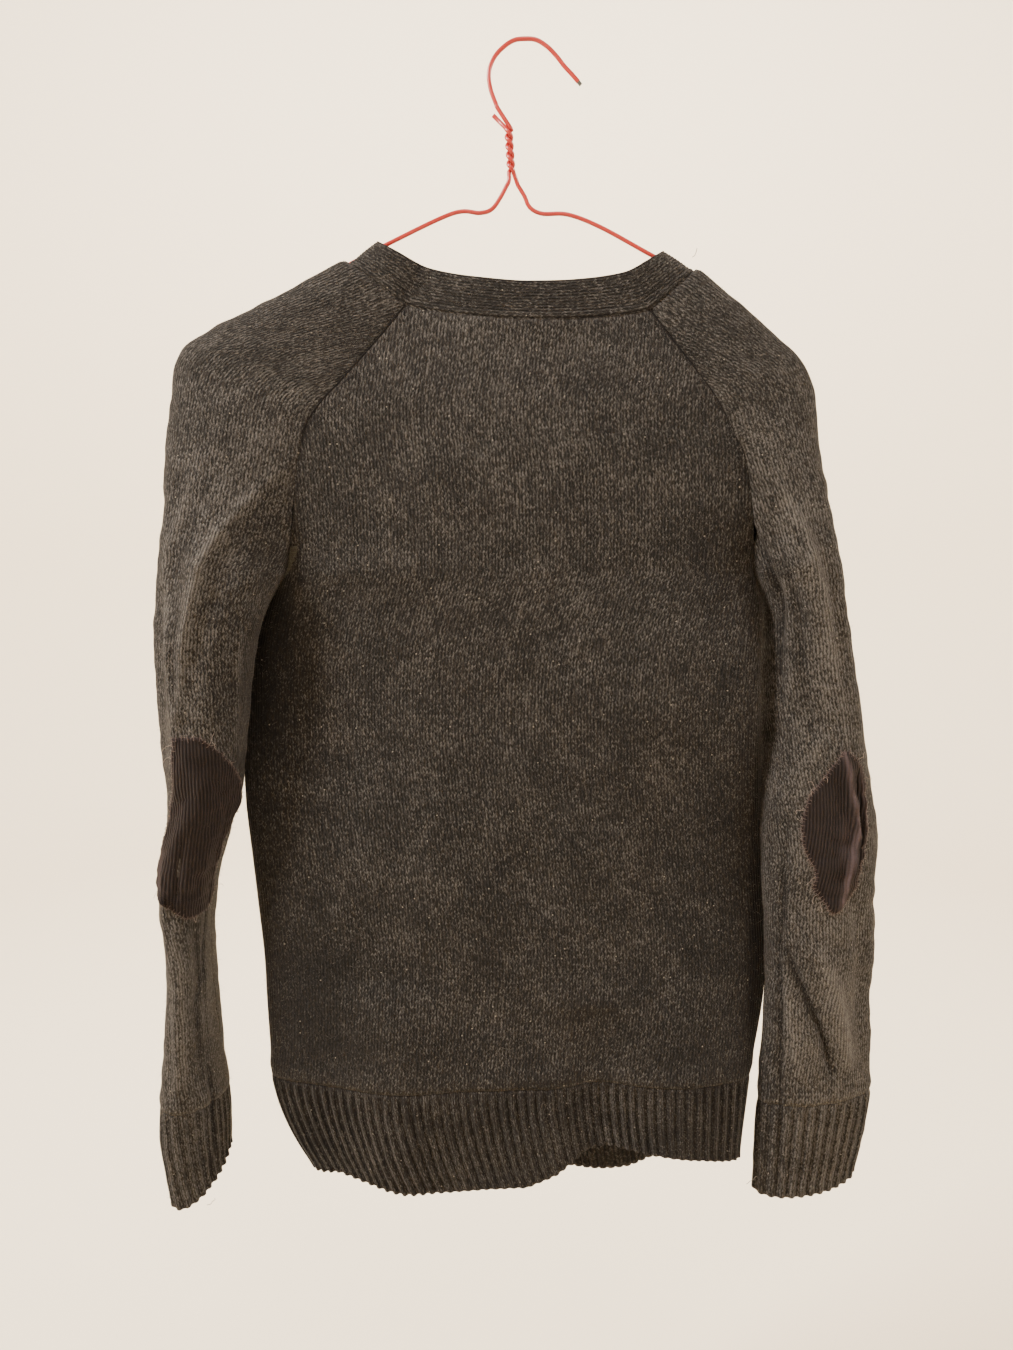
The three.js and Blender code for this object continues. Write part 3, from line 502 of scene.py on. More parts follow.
def fold_rise(folds, along, across):
    """Summed rise of ridges and troughs. along is compared with each fold's two ends."""
    total = np.zeros(np.broadcast(along, across).shape)
    for start, end, width, rise, across_start, across_end in folds:
        share = np.clip((along - start) / (end - start), 0, 1)
        off = across - (across_start + (across_end - across_start) * share)
        total += rise * hump(off, width) * np.sin(np.pi * share) ** 0.6
    return total


def crease_rise(creases, at, degrees):
    """Summed rise of creases that follow rows and degrees."""
    total = np.zeros(np.broadcast(at, degrees).shape)
    for width, rise, route in creases:
        rows, turns = np.array(route, float).T
        share = np.clip((at - rows[0]) / (rows[-1] - rows[0]), 0, 1)
        off = (degrees - np.interp(at, rows, turns)) / width
        total += rise * np.exp(-np.abs(off) ** 1.6) * np.sin(np.pi * share) ** 0.5
    return total * CREASE_STRENGTH


def sleeve_table(side):
    """All rows of a sleeve, from the neckband to the end of the cuff."""
    raglan = LEFT_RAGLAN if side == "left" else RIGHT_RAGLAN
    tube = LEFT_TUBE if side == "left" else RIGHT_TUBE
    rows = [(*r[:3], *r[3:6], *r[3:6], r[6], r[7], 180) for r in tube]
    return np.array([*raglan, *rows], float)


def sleeve_section(side, at):
    """Columns of a sleeve section at row numbers, with the raglan seams kept exact."""
    table = sleeve_table(side)
    smooth = spline(table, at)
    smooth[..., 3:9] = split_spline(table[:, 3:9], at)
    smooth[..., 11] = np.minimum(smooth[..., 11], 180)
    return smooth


def sleeve_middle(section):
    """A point inside each sleeve section."""
    middle = section[..., :3] * 0.55 + section[..., 3:6] * 0.45
    middle[..., 1] = (section[..., 1] + section[..., 4]) * 0.25
    return middle


def sleeve_point(side, at, share, ribbed=False):
    """Point of a sleeve at row numbers, share 0 to 1 from the back seam to the front."""
    at, share = np.broadcast_arrays(np.asarray(at, float), share)
    section = sleeve_section(side, at)
    degrees = (share * 2 - 1) * section[..., 11]
    behind = degrees < 0
    seam = np.where(behind[..., None], section[..., 3:6], section[..., 6:9])
    bow = np.where(behind, -section[..., 9], section[..., 10])
    turn = np.radians(section[..., 11])
    angle = np.radians(np.abs(degrees))
    along = (1 - np.cos(angle)) / (1 - np.cos(turn))
    point = section[..., :3] * (1 - along[..., None]) + seam * along[..., None]
    point[..., 1] += bow * (np.sin(angle) - np.sin(turn) * along)
    folds = [(f[0], f[1], f[4], f[5], f[2], f[3]) for f in SLEEVE_FOLDS[side]]
    out = unit(point - sleeve_middle(section))
    rise = fold_rise(folds, at, degrees)
    rise += crease_rise(CREASES[side], at, degrees)
    rise += soft_noise(point, 42, SEED) * 0.55 + soft_noise(point, 15, SEED + 1) * 0.3
    drop = np.interp(at, DROOP[side][0], DROOP[side][1]) * np.sin(angle) * behind
    point[..., 2] -= drop
    return point + out * (rise * (0.6 if ribbed else 1))[..., None]


def body_table(edge):
    """Rows of a body panel. Columns: left x y z, right x y z, fold, bulge, dip."""
    at = 3 if edge == "back" else 6
    upper = []
    for row, (left, right) in enumerate(zip(LEFT_RAGLAN, RIGHT_RAGLAN)):
        level = (left[at + 2] + right[at + 2]) / 2
        armpit = LEFT_RAGLAN[ARMPIT_ROW][5]
        middle = V_POINT_HEIGHT + (armpit - V_POINT_HEIGHT) * row / ARMPIT_ROW
        front_dip = 0 if row == ARMPIT_ROW else level - middle
        dip = BACK_NECK_DIP[row] if edge == "back" else front_dip
        sides = (*left[at : at + 3], *right[at : at + 3])
        upper.append((*sides, UPPER_FOLD[row], UPPER_BULGE[edge][row], dip))
    depth = 5 if edge == "back" else 6
    lower = [(r[1], r[2], r[0], r[3], r[4], r[0], 1, r[depth], 0) for r in BODY_ROWS]
    return np.array([*upper, *lower], float)


def across_panel(left, right, fold, bulge, dip, share, edge):
    """Point of a body row. fold is 1 where the side is a soft fold and 0 at a seam."""
    side = -1 if edge == "back" else 1
    cosine = (1 - np.cos(np.pi * share)) / 2
    way = share * (1 - fold) + cosine * fold
    point = left * (1 - way[..., None]) + right * way[..., None]
    arch = np.clip(np.sin(np.pi * share), 0, 1)
    point[..., 1] += side * bulge * arch ** (1.5 - 0.95 * fold)
    point[..., 2] -= dip * arch_of(way, edge)
    folds = [(f[2], f[3], f[4], f[5], f[0], f[1]) for f in BODY_FOLDS[edge]]
    rise = fold_rise(folds, point[..., 2], point[..., 0])
    rise += (soft_noise(point, 60, SEED + 2) * 0.8 + soft_noise(point, 18, SEED + 3) * 0.25) * arch
    point[..., 1] += side * rise
    return point


def arch_of(way, edge):
    """How a row dips between its sides: to a V in front, round behind."""
    if edge == "front":
        return 1 - np.abs(2 * way - 1)
    return np.clip(np.sin(np.pi * way), 0, 1) ** 0.8


def panel_point(edge, at, share):
    """Point of a body panel at row numbers, share 0 to 1 from left to right."""
    at, share = np.broadcast_arrays(np.asarray(at, float), share)
    table = body_table(edge)
    row = split_spline(table, at)
    row[..., 6] = np.clip(row[..., 6], 0, 1)
    return across_panel(row[..., :3], row[..., 3:6], row[..., 6], row[..., 7], row[..., 8], share, edge)


def hem_point(edge, down, share):
    """Point of the hem rib, down 0 at the panel and 1 at the free edge."""
    down, share = np.broadcast_arrays(np.asarray(down, float), share)
    top = BODY_ROWS[-1]
    depth = 5 if edge == "back" else 6
    left_x = top[1] + (HEM_END[0] - top[1]) * down**1.6
    left_y = top[2] + (HEM_END[1] - top[2]) * down
    right_x = top[3] + (HEM_END[2] - top[3]) * down
    right_y = top[4] + (HEM_END[3] - top[4]) * down
    bulge = top[depth] + (HEM_END[depth - 1] - top[depth]) * down
    edge_rows = np.array(HEM_EDGE[edge], float)
    cosine = (1 - np.cos(np.pi * share)) / 2
    bottom = np.interp(cosine, edge_rows[:, 0], edge_rows[:, 1])
    height = HEM_TOP + (bottom - HEM_TOP) * down
    left = np.stack([left_x, left_y, height], -1)
    right = np.stack([right_x, right_y, height], -1)
    return across_panel(left, right, np.ones_like(down), bulge, np.zeros_like(down), share, edge)


def lay(curve, rows, columns, start, end, dense=5, crowd=0.0):
    """Points of a cloth at even steps both ways, with how far across and along each is.

    curve(row numbers, shares) gives points; start and end are its first and last row.
    crowd draws the columns towards the two sides, where the seams are.
    """
    guess = np.linspace(start, end, rows * 2)
    spine = np.stack([curve(guess, np.full_like(guess, s)) for s in (0.3, 0.5, 0.7)]).mean(0)
    length = walked(spine)
    at = np.interp(np.linspace(0, length[-1], rows + 1), length, guess)
    shares = np.linspace(0, 1, columns * dense + 1)
    across = walked_across(curve(at[:, None], shares[None, :]))
    even = np.linspace(0, 1, columns + 1)
    even = even - crowd * np.sin(2 * np.pi * even) / (2 * np.pi)
    share = np.stack([np.interp(even * a[-1], a, shares) for a in across])
    points = curve(at[:, None], share)
    width = across[:, -1:]
    return {
        "points": points,
        "across": even[None, :] * width,
        "width": width,
        "along": np.repeat(np.linspace(0, length[-1], rows + 1)[:, None], columns + 1, axis=1),
        "at": np.repeat(at[:, None], columns + 1, axis=1),
        "share": share,
    }


def outward(points, hint, closed=False):
    """Unit normals of a grid, turned to the hint's side."""
    if closed:
        wide = np.concatenate([points[:, -2:-1], points, points[:, 1:2]], axis=1)
        du = np.gradient(wide, axis=1)[:, 1:-1]
    else:
        du = np.gradient(points, axis=1)
    normal = unit(np.cross(du, np.gradient(points, axis=0)))
    flip = np.sum(normal * hint, axis=-1).mean() < 0
    return -normal if flip else normal


def new_object(name, mesh):
    """An object of a mesh, linked to the scene."""
    piece = bpy.data.objects.new(name, mesh)
    bpy.context.scene.collection.objects.link(piece)
    return piece


def cloth(name, points, normals, across, along, wall, closed=False, painted_shading=0.0):
    """A mesh of a grid of points in millimetres, with its cloth coordinates as a UV map.

    The last argument is the painted light and shade at each point: how much paler or darker than the rest
    the cloth is painted.
    """
    rows, columns = points.shape[0] - 1, points.shape[1] - 1
    bm = bmesh.new()
    bmesh.ops.create_grid(bm, x_segments=columns, y_segments=rows, size=0.5)
    cloth_map = bm.loops.layers.uv.new("cloth")
    # Each point keeps its painted light and shade in a vertex layer, which the knit's colour reads
    shading_layer = bm.verts.layers.float.new("painted_shading")
    painted_shading = np.broadcast_to(painted_shading, points.shape[:2])
    spots = {}
    for vertex in bm.verts:
        column = round((vertex.co.x + 0.5) * columns)
        row = round((vertex.co.y + 0.5) * rows)
        spots[vertex] = (row, column)
        vertex.co = points[row, column] * MM
        vertex[shading_layer] = painted_shading[row, column]
    for face in bm.faces:
        face.smooth = True
        for loop in face.loops:
            row, column = spots[loop.vert]
            loop[cloth_map].uv = (across[row, column] * MM, along[row, column] * MM)
    bm.normal_update()
    bm.faces.ensure_lookup_table()
    middle = bm.faces[len(bm.faces) // 2]
    row, column = spots[middle.verts[0]]
    if middle.normal.dot(Vector(normals[row, column])) < 0:
        bmesh.ops.reverse_faces(bm, faces=bm.faces[:])
    if closed:
        bmesh.ops.remove_doubles(bm, verts=bm.verts[:], dist=1e-6)
    mesh = bpy.data.meshes.new(name)
    bm.to_mesh(mesh)
    bm.free()
    piece = new_object(name, mesh)
    thickness = piece.modifiers.new("Wall", "SOLIDIFY")
    thickness.thickness = wall
    thickness.offset = -1
    return piece


def finish_piece(piece, material, *nodes, flat=None, area=None, held="hung", rests_on=()):
    """Gives a piece its material and body, and hides the model's parts that it stands for."""
    piece.data.materials.append(material)
    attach(piece, BODY)
    if nodes:
        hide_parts(*nodes)
    return piece


def cut_size(laid):
    """Widest and longest flat measure and the area of a laid cloth, in metres."""
    width = float(laid["width"].max()) * MM
    length = float(laid["along"].max()) * MM
    area = float(laid["width"].mean()) * MM * length
    return (width, length), min(area, width * length)


def threads(name, routes, radius, material, sides=3):
    """Threads or wire as one mesh swept along routes of points in millimetres.

    A fourth number of a point is its share of the radius.
    """
    curve = bpy.data.curves.new(name, "CURVE")
    curve.dimensions = "3D"
    curve.bevel_depth = radius * MM
    curve.bevel_resolution = sides - 2
    curve.resolution_u = 1
    curve.use_fill_caps = True
    for route in routes:
        line = curve.splines.new("POLY")
        line.points.add(len(route) - 1)
        for spot, point in zip(line.points, route):
            spot.co = (*(np.asarray(point[:3]) * MM), 1)
            spot.radius = point[3] if len(point) > 3 else 1
    line_object = new_object(name, curve)
    graph = bpy.context.evaluated_depsgraph_get()
    mesh = bpy.data.meshes.new_from_object(line_object.evaluated_get(graph))
    bpy.data.objects.remove(line_object)
    mesh.name = name
    for polygon in mesh.polygons:
        polygon.use_smooth = True
    mesh.materials.clear()
    return finish_piece(new_object(name, mesh), material)


def knit_material(name, slot, wale, course, valley_shade=0.0):
    """Lambswool heather: dull, napped, with stitches, painted shade in the gaps between them and rare pale
    neps.

    The last argument is how much painted shade is laid in the valleys of a two by two rib.
    """
    finish = bpy.context.scene.pullover_finish
    material, tree = blank_material(name, slot)
    place = add(tree, "ShaderNodeUVMap", uv_map="cloth").outputs[0]
    split = add(tree, "ShaderNodeSeparateXYZ", {0: place})
    u = calculate(tree, "DIVIDE", split.outputs[0], wale)
    v = calculate(tree, "DIVIDE", split.outputs[1], course)
    # Each column of stitches is two slanting legs, so the rows bend to a V
    leg = calculate(tree, "ABSOLUTE", calculate(tree, "SUBTRACT", calculate(tree, "FRACT", u), 0.5))
    slanted = calculate(tree, "MULTIPLY_ADD", leg, 1.7, v)
    phase = calculate(tree, "MULTIPLY", calculate(tree, "FRACT", slanted), math.pi)
    stitch = calculate(tree, "MULTIPLY_ADD", calculate(tree, "SINE", phase), 0.4, 0.6)
    ridge = calculate(tree, "COSINE", calculate(tree, "MULTIPLY", leg, math.pi))
    height = calculate(tree, "MULTIPLY", calculate(tree, "POWER", ridge, 0.7), stitch)
    # Heather: every stitch, its yarn, its fibres and broad clouds have their own tone
    cell = pair(
        tree, calculate(tree, "FLOOR", calculate(tree, "MULTIPLY", u, 2.0)),
        calculate(tree, "FLOOR", slanted),
    )
    each = add(tree, "ShaderNodeTexWhiteNoise", {"Vector": cell}, noise_dimensions="2D")
    yarn_place = pair(tree, calculate(tree, "MULTIPLY", u, 1.5), slanted)
    yarn = noise(tree, yarn_place, 1.0, 4.0, 0.62)
    fibre_place = pair(
        tree, calculate(tree, "MULTIPLY", u, 2.6), calculate(tree, "MULTIPLY", slanted, 1.6),
    )
    fibre = noise(tree, fibre_place, 1.0, 3.0, 0.7)
    broad = noise(tree, place, 30.0, 4.0, 0.68)
    # The tone starts from the painted light and shade kept on each point of the cloth
    tone = add(tree, "ShaderNodeAttribute", attribute_name="painted_shading").outputs["Fac"]
    for source, weight in ((each.outputs["Value"], 0.4), (yarn, 0.95), (fibre, 0.7), (broad, 0.4)):
        tone = calculate(tree, "MULTIPLY_ADD", source, weight, tone)
    tone = calculate(tree, "ADD", tone, -0.73)
    ramp = add(tree, "ShaderNodeValToRGB", {0: tone})
    stops = ramp.color_ramp.elements
    stops[0].position, stops[0].color = 0.08, (*finish.dark_wool, 1)
    stops[1].position, stops[1].color = 0.95, (*finish.light_wool, 1)
    stops.new(0.5).color = (*finish.mid_wool, 1)
    # Painted shade: the colour darkens in the gaps between the stitch legs, and in the valleys of a rib
    gap_shade = calculate(tree, "MULTIPLY_ADD", height, 1.1, 0.2)
    rib = calculate(tree, "COSINE", calculate(tree, "MULTIPLY", u, math.pi / 2))
    rib_valley_shade = calculate(tree, "MULTIPLY_ADD", rib, valley_shade / 2, 1 - valley_shade / 2)
    gap_shade = calculate(tree, "MULTIPLY", gap_shade, rib_valley_shade)
    shaded = mix(tree, 1.0, ramp.outputs[0], gap_shade, "MULTIPLY")
    nep = calculate(tree, "GREATER_THAN", noise(tree, place, 430.0, 0.0), 0.93)
    colour = mix(tree, calculate(tree, "MULTIPLY", nep, 0.5), shaded, linear("#8f877b"))
    bump = relief(tree, calculate(tree, "MULTIPLY_ADD", fibre, 0.55, height), 0.8, 0.45 * MM)
    finish_shader(
        tree, colour, bump, Roughness=0.92, Specular_IOR_Level=0.12, Sheen_Weight=0.09,
        Sheen_Roughness=0.5, Sheen_Tint=linear("#b5aaa0"),
    )
    return material


def corduroy_material():
    """Fine cotton corduroy: pile ribs with a soft sheen and painted near-black shade between them, worn
    paler where it creases.
    """
    finish = bpy.context.scene.pullover_finish
    material, tree = blank_material("needlecord_cotton", "corduroy")
    place = add(tree, "ShaderNodeUVMap", uv_map="cloth").outputs[0]
    split = add(tree, "ShaderNodeSeparateXYZ", {0: place})
    phase = calculate(tree, "MULTIPLY", split.outputs[0], 2 * math.pi / (CORD_WALE * MM))
    pile = calculate(tree, "MULTIPLY_ADD", calculate(tree, "COSINE", phase), 0.5, 0.5)
    wear = add(tree, "ShaderNodeAttribute", attribute_name="wear").outputs["Fac"]
    grain = noise(tree, place, 900.0, 3.0, 0.7)
    cloud = calculate(tree, "MULTIPLY_ADD", noise(tree, place, 55.0, 4.0, 0.65), 0.9, 0.35)
    # Painted shade: between the pile ribs the colour falls to near black
    base = mix(tree, pile, linear("#0a0706"), (*finish.corduroy, 1))
    wear_and_crease_highlight = mix(tree, calculate(tree, "MULTIPLY", wear, cloud), base, linear("#4b3f40"))
    grained = mix(tree, 1.0, wear_and_crease_highlight, calculate(tree, "MULTIPLY_ADD", grain, 0.8, 0.6), "MULTIPLY")
    bump = relief(tree, calculate(tree, "MULTIPLY_ADD", grain, 0.4, pile), 0.8, 0.45 * MM)
    finish_shader(
        tree, grained, bump, Roughness=0.88, Specular_IOR_Level=0.12, Sheen_Weight=0.1,
        Sheen_Roughness=0.4, Sheen_Tint=linear("#a88f84"),
    )
    return material


def coated_wire_material():
    """Dipped PVC on steel wire: a clear gloss with faint ripples in the coat."""
    finish = bpy.context.scene.pullover_finish
    material, tree = blank_material("pvc_coated_steel_wire", "wire")
    place = add(tree, "ShaderNodeTexCoord").outputs["Object"]
    stain = noise(tree, place, 60.0, 3.0, flat=False)
    colour = mix(tree, stain, (*finish.coating, 1), linear("#8a140e"))
    bump = relief(tree, noise(tree, place, 220.0, flat=False), 0.12, 0.2 * MM)
    finish_shader(tree, colour, bump, Roughness=0.42, Coat_Weight=0.2, Coat_Roughness=0.2)
    return material


def plain_material(name, slot, code, roughness=0.9, metallic=0.0, sheen=0.0, spread=0.25):
    """One fibre or metal colour, a little uneven."""
    material, tree = blank_material(name, slot)
    place = add(tree, "ShaderNodeTexCoord").outputs["Object"]
    uneven = noise(tree, place, 400.0, flat=False)
    shade = calculate(tree, "MULTIPLY_ADD", uneven, spread * 2, 1 - spread)
    colour = mix(tree, 1.0, linear(code), shade, "MULTIPLY")
    finish_shader(
        tree, colour, Roughness=roughness, Metallic=metallic, Sheen_Weight=sheen,
        Specular_IOR_Level=0.5 if metallic else 0.2,
    )
    return material


def edge_groove(laid, which, depth=0.9, width=1.1):
    """How far the cloth sinks towards the edges that are sewn."""
    sink = np.zeros(laid["across"].shape)
    if "sides" in which:
        sink += hump(laid["across"], width) + hump(laid["width"] - laid["across"], width)
    if "top" in which:
        sink += hump(laid["along"], width)
    return -depth * np.minimum(sink, 1)


def seam_fade(at):
    """A raglan seam is crisp at the neck and lost in the milled cloth at the armpit."""
    return np.interp(at, (0, 3, 5, 6.2, ARMPIT_ROW), (1, 0.8, 0.35, 0.1, 0.1))


def body_painted_shading(points):
    """Painted light and shade of the body: painted shade towards its sides and lower down, in the corner
    over the left of the hem, in the hollows behind the sleeves and in a strip beside the right sleeve, and a
    painted pool of light high up."""
    x, z = points[..., 0], points[..., 2]
    side = np.clip((np.abs(x + 10) - 95) / 85, 0, 1) ** 1.2
    low = np.clip((-430 - z) / 260, 0, 1)
    lower_left_shade = hump(x + 150, 34) * hump(z + 660, 45)
    hollow = hump(x + 192, 17) * hump(z + 405, 62) + 0.7 * hump(x + 172, 9) * hump(z + 372, 24)
    shaded = np.clip((x - 164) / 8, 0, 1) * np.clip((-440 - z) / 40, 0, 1)
    strip = shaded * np.clip((z + 735) / 30, 0, 1)
    high = hump(x + 5, 90) * hump(z + 230, 110)
    dark = 0.13 * side * (0.4 + 0.6 * low) + 0.03 * low + 0.17 * lower_left_shade + 0.5 * hollow + 0.45 * strip
    return 0.06 * high - dark


def sleeve_painted_shading(side, at, degrees):
    """Painted light and shade of the sleeves: painted highlights on their crease ridges and down their
    backs, less near the shoulders, painted shade in the crease troughs and down their inner side, and the
    right sleeve painted a little paler.
    """
    wear_and_crease_highlight = crease_rise(CREASES[side], at, degrees)
    outer = hump(degrees + 85, 55)
    inner = np.clip((np.abs(degrees) - 120) / 60, 0, 1)
    upper = np.clip(1 - (at - 2) / 6, 0, 1)
    shade = 0.15 * outer - 0.08 * inner - 0.13 * upper * outer + 0.06 * wear_and_crease_highlight
    return shade + (0.05 * np.clip((at - 3) / 4, 0, 1) if side == "right" else 0)


def fashioning(laid, distance=5.6, pitch=5.6):
    """The raised line and its small dents that run beside a raglan seam."""
    upper = laid["at"] < ARMPIT_ROW - 0.5
    total = np.zeros(laid["across"].shape)
    for off in (laid["across"], laid["width"] - laid["across"]):
        dents = 0.5 + 0.5 * np.cos(2 * np.pi * laid["along"] / pitch)
        total += hump(off - distance, 1.0) * (0.35 - 0.75 * dents**2)
    return total * upper


class PULLOVER_OT_materials(bpy.types.Operator):
    """Makes the finishes of wool, corduroy, thread and wire"""

    bl_idname = "pullover.materials"
    bl_label = "Finishes"

    def execute(self, context):
        sizes = context.scene.pullover_knit
        gauge = (sizes.wale, sizes.course)
        MATERIALS["knit"] = knit_material("lambswool_stocking_stitch", "knit", *gauge)
        # The rib's knit has painted shade in its valleys
        MATERIALS["rib"] = knit_material("lambswool_two_by_two_rib", "rib", *gauge, valley_shade=0.24)
        MATERIALS["band"] = knit_material("lambswool_fine_band", "rib", *gauge)
        MATERIALS["corduroy"] = corduroy_material()
        MATERIALS["wire"] = coated_wire_material()
        MATERIALS["steel"] = plain_material("cut_steel_wire", "wire", "#5a5a58", 0.45, 1.0, spread=0.1)
        MATERIALS["nap"] = plain_material(
            "loose_lambswool_fibre", "knit", "#5f574f", 1.0, sheen=0.1, spread=0.45,
        )
        MATERIALS["thread"] = plain_material("brown_sewing_thread", "corduroy", "#3d302b", 0.8, sheen=0.1)
        MATERIALS["pale_thread"] = plain_material(
            "frayed_cotton_thread", "corduroy", "#75675f", 0.9, sheen=0.1,
        )
        # The linking yarn is coloured near black: painted shade of the seam grooves
        MATERIALS["linking"] = plain_material("linking_yarn_painted_shade", "knit", "#0e0b0a", 1.0, spread=0.4)
        MATERIALS["darning"] = plain_material("darning_wool", "knit", "#353229", 0.95, sheen=0.1, spread=0.4)
        return {"FINISHED"}


def knit_panel(name, laid, hint, lip, painted_shading):
    """Sinks the seams of a laid panel, lifts its lower edge to the rib and knits it.

    lip is how high that edge stands and how far up it is felt; the last argument, given the points, returns
    the panel's painted light and shade.
    """
    normals = outward(laid["points"], hint)
    rise = edge_groove(laid, "top", 1.2, 1.4) + fashioning(laid)
    rise += edge_groove(laid, "sides") * seam_fade(laid["at"])
    height, reach = lip
    rise += height * hump(laid["along"].max() - laid["along"] - reach, reach)
    points = laid["points"] + normals * rise[..., None]
    LAID[name] = {**laid, "points": points, "normals": normals}
    centred = laid["across"] - laid["width"] / 2
    wall = bpy.context.scene.pullover_knit.wall
    piece = cloth(
        name + "_knit", points, normals, centred, -laid["along"], wall, painted_shading=painted_shading(points),
    )
    flat, area = cut_size(laid)
    finish_piece(piece, MATERIALS["knit"], name, flat=flat, area=area, rests_on=["hanger_frame"])


class PULLOVER_OT_body(bpy.types.Operator):
    """Lays the back and the front through the body's sections"""

    bl_idname = "pullover.body"
    bl_label = "Back and front"

    def execute(self, context):
        last = ARMPIT_ROW + len(BODY_ROWS)
        for edge in ("back", "front"):
            laid = lay(lambda at, share: panel_point(edge, at, share), *GRIDS[edge], 0, last, crowd=0.6)
            hint = np.array([0, -1 if edge == "back" else 1, 0])
            knit_panel(edge, laid, hint, (1.1, 7), body_painted_shading)
        return {"FINISHED"}


class PULLOVER_OT_sleeves(bpy.types.Operator):
    """Lays the two raglan sleeves down to their cuffs"""

    bl_idname = "pullover.sleeves"
    bl_label = "Sleeves"

    def execute(self, context):
        for side in ("left", "right"):
            last = len(sleeve_table(side)) - 1 - CUFF_ROWS
            laid = lay(
                lambda at, share: sleeve_point(side, at, share), *GRIDS["sleeve"], 0, last, crowd=0.45,
            )
            section = sleeve_section(side, laid["at"][:, 0])
            hint = laid["points"] - sleeve_middle(section)[:, None]
            degrees = (laid["share"] * 2 - 1) * section[:, None, 11]
            # Painted light and shade of the sleeve, kept on its points
            shade = sleeve_painted_shading(side, laid["at"], degrees)
            knit_panel("sleeve_" + side, laid, hint, (0.9, 6), lambda points: shade)
        return {"FINISHED"}


def rib_profile(turns, rise):
    """Two wales up and two down: rounded ridges and valleys round the middle height."""
    wave = np.cos(2 * np.pi * turns)
    return np.tanh(2.0 * wave) / math.tanh(2.0) * rise / 2


class PULLOVER_OT_ribs(bpy.types.Operator):
    """Knits the ribbed hem and the ribbed cuffs"""

    bl_idname = "pullover.ribs"
    bl_label = "Hem and cuffs"

    def execute(self, context):
        sizes = context.scene.pullover_knit
        for edge in ("back", "front"):
            columns = sizes.hem_ribs * STEPS_PER_RIB
            laid = lay(
                lambda at, share: hem_point(edge, at, share), RIB_ROWS["hem"], columns, 0, 1, dense=2,
            )
            hint = np.array([0, -1 if edge == "back" else 1, 0])
            self.knit(laid, hint, f"hem_rib_{edge}", sizes, sizes.hem_ribs)
        for side in ("left", "right"):
            last = len(sleeve_table(side)) - 1
            columns = sizes.cuff_ribs * STEPS_PER_RIB
            laid = lay(
                lambda at, share: sleeve_point(side, at, share, ribbed=True), RIB_ROWS["cuff"], columns,
                last - CUFF_ROWS, last, dense=2,
            )
            section = sleeve_section(side, laid["at"][:, 0])
            hint = laid["points"] - sleeve_middle(section)[:, None]
            self.knit(laid, hint, f"cuff_{side}", sizes, sizes.cuff_ribs, side)
        return {"FINISHED"}

    def knit(self, laid, hint, name, sizes, ribs, sleeve=None):
        """Raises the ribs of a laid hem, or of the cuff of a sleeve, which is closed."""
        closed = sleeve is not None
        normals = outward(laid["points"], hint, closed)
        turns = laid["across"] / laid["width"] * ribs
        down = laid["along"] / laid["along"].max()
        random = np.random.default_rng(SEED + ribs)
        lean = np.interp(turns.ravel() % ribs, np.arange(ribs + 1), random.uniform(-0.1, 0.1, ribs + 1))
        turns = turns + lean.reshape(turns.shape) * np.sin(np.pi * down) * 0.5
        even = np.clip(0.9 + 0.25 * soft_noise(laid["points"], 90, SEED + 12), 0.6, 1.15)
        rise = rib_profile(turns, sizes.rib_rise / MM) * np.clip(down / 0.07, 0, 1) ** 0.7 * even
        rise += 0.5 * hump(1 - down, 0.05)
        points = laid["points"] + normals * rise[..., None]
        # The hem and cuffs take the same painted light and shade as the body and sleeves
        if closed:
            points[:, -1] = points[:, 0]
            painted_shading = sleeve_painted_shading(sleeve, laid["at"], laid["share"] * 360 - 180)
        else:
            points[:, [0, -1]] = laid["points"][:, [0, -1]]
            painted_shading = body_painted_shading(points) + 0.02
        LAID[name] = {**laid, "points": points, "normals": normals}
        per_rib = 4 * sizes.wale / MM
        piece = cloth(
            name + "_knit", points, normals, turns * per_rib, -laid["along"], sizes.wall, closed, painted_shading,
        )
        flat, area = cut_size(laid)
        finish_piece(piece, MATERIALS["rib"], name, flat=flat, area=area, rests_on=["hanger_frame"])


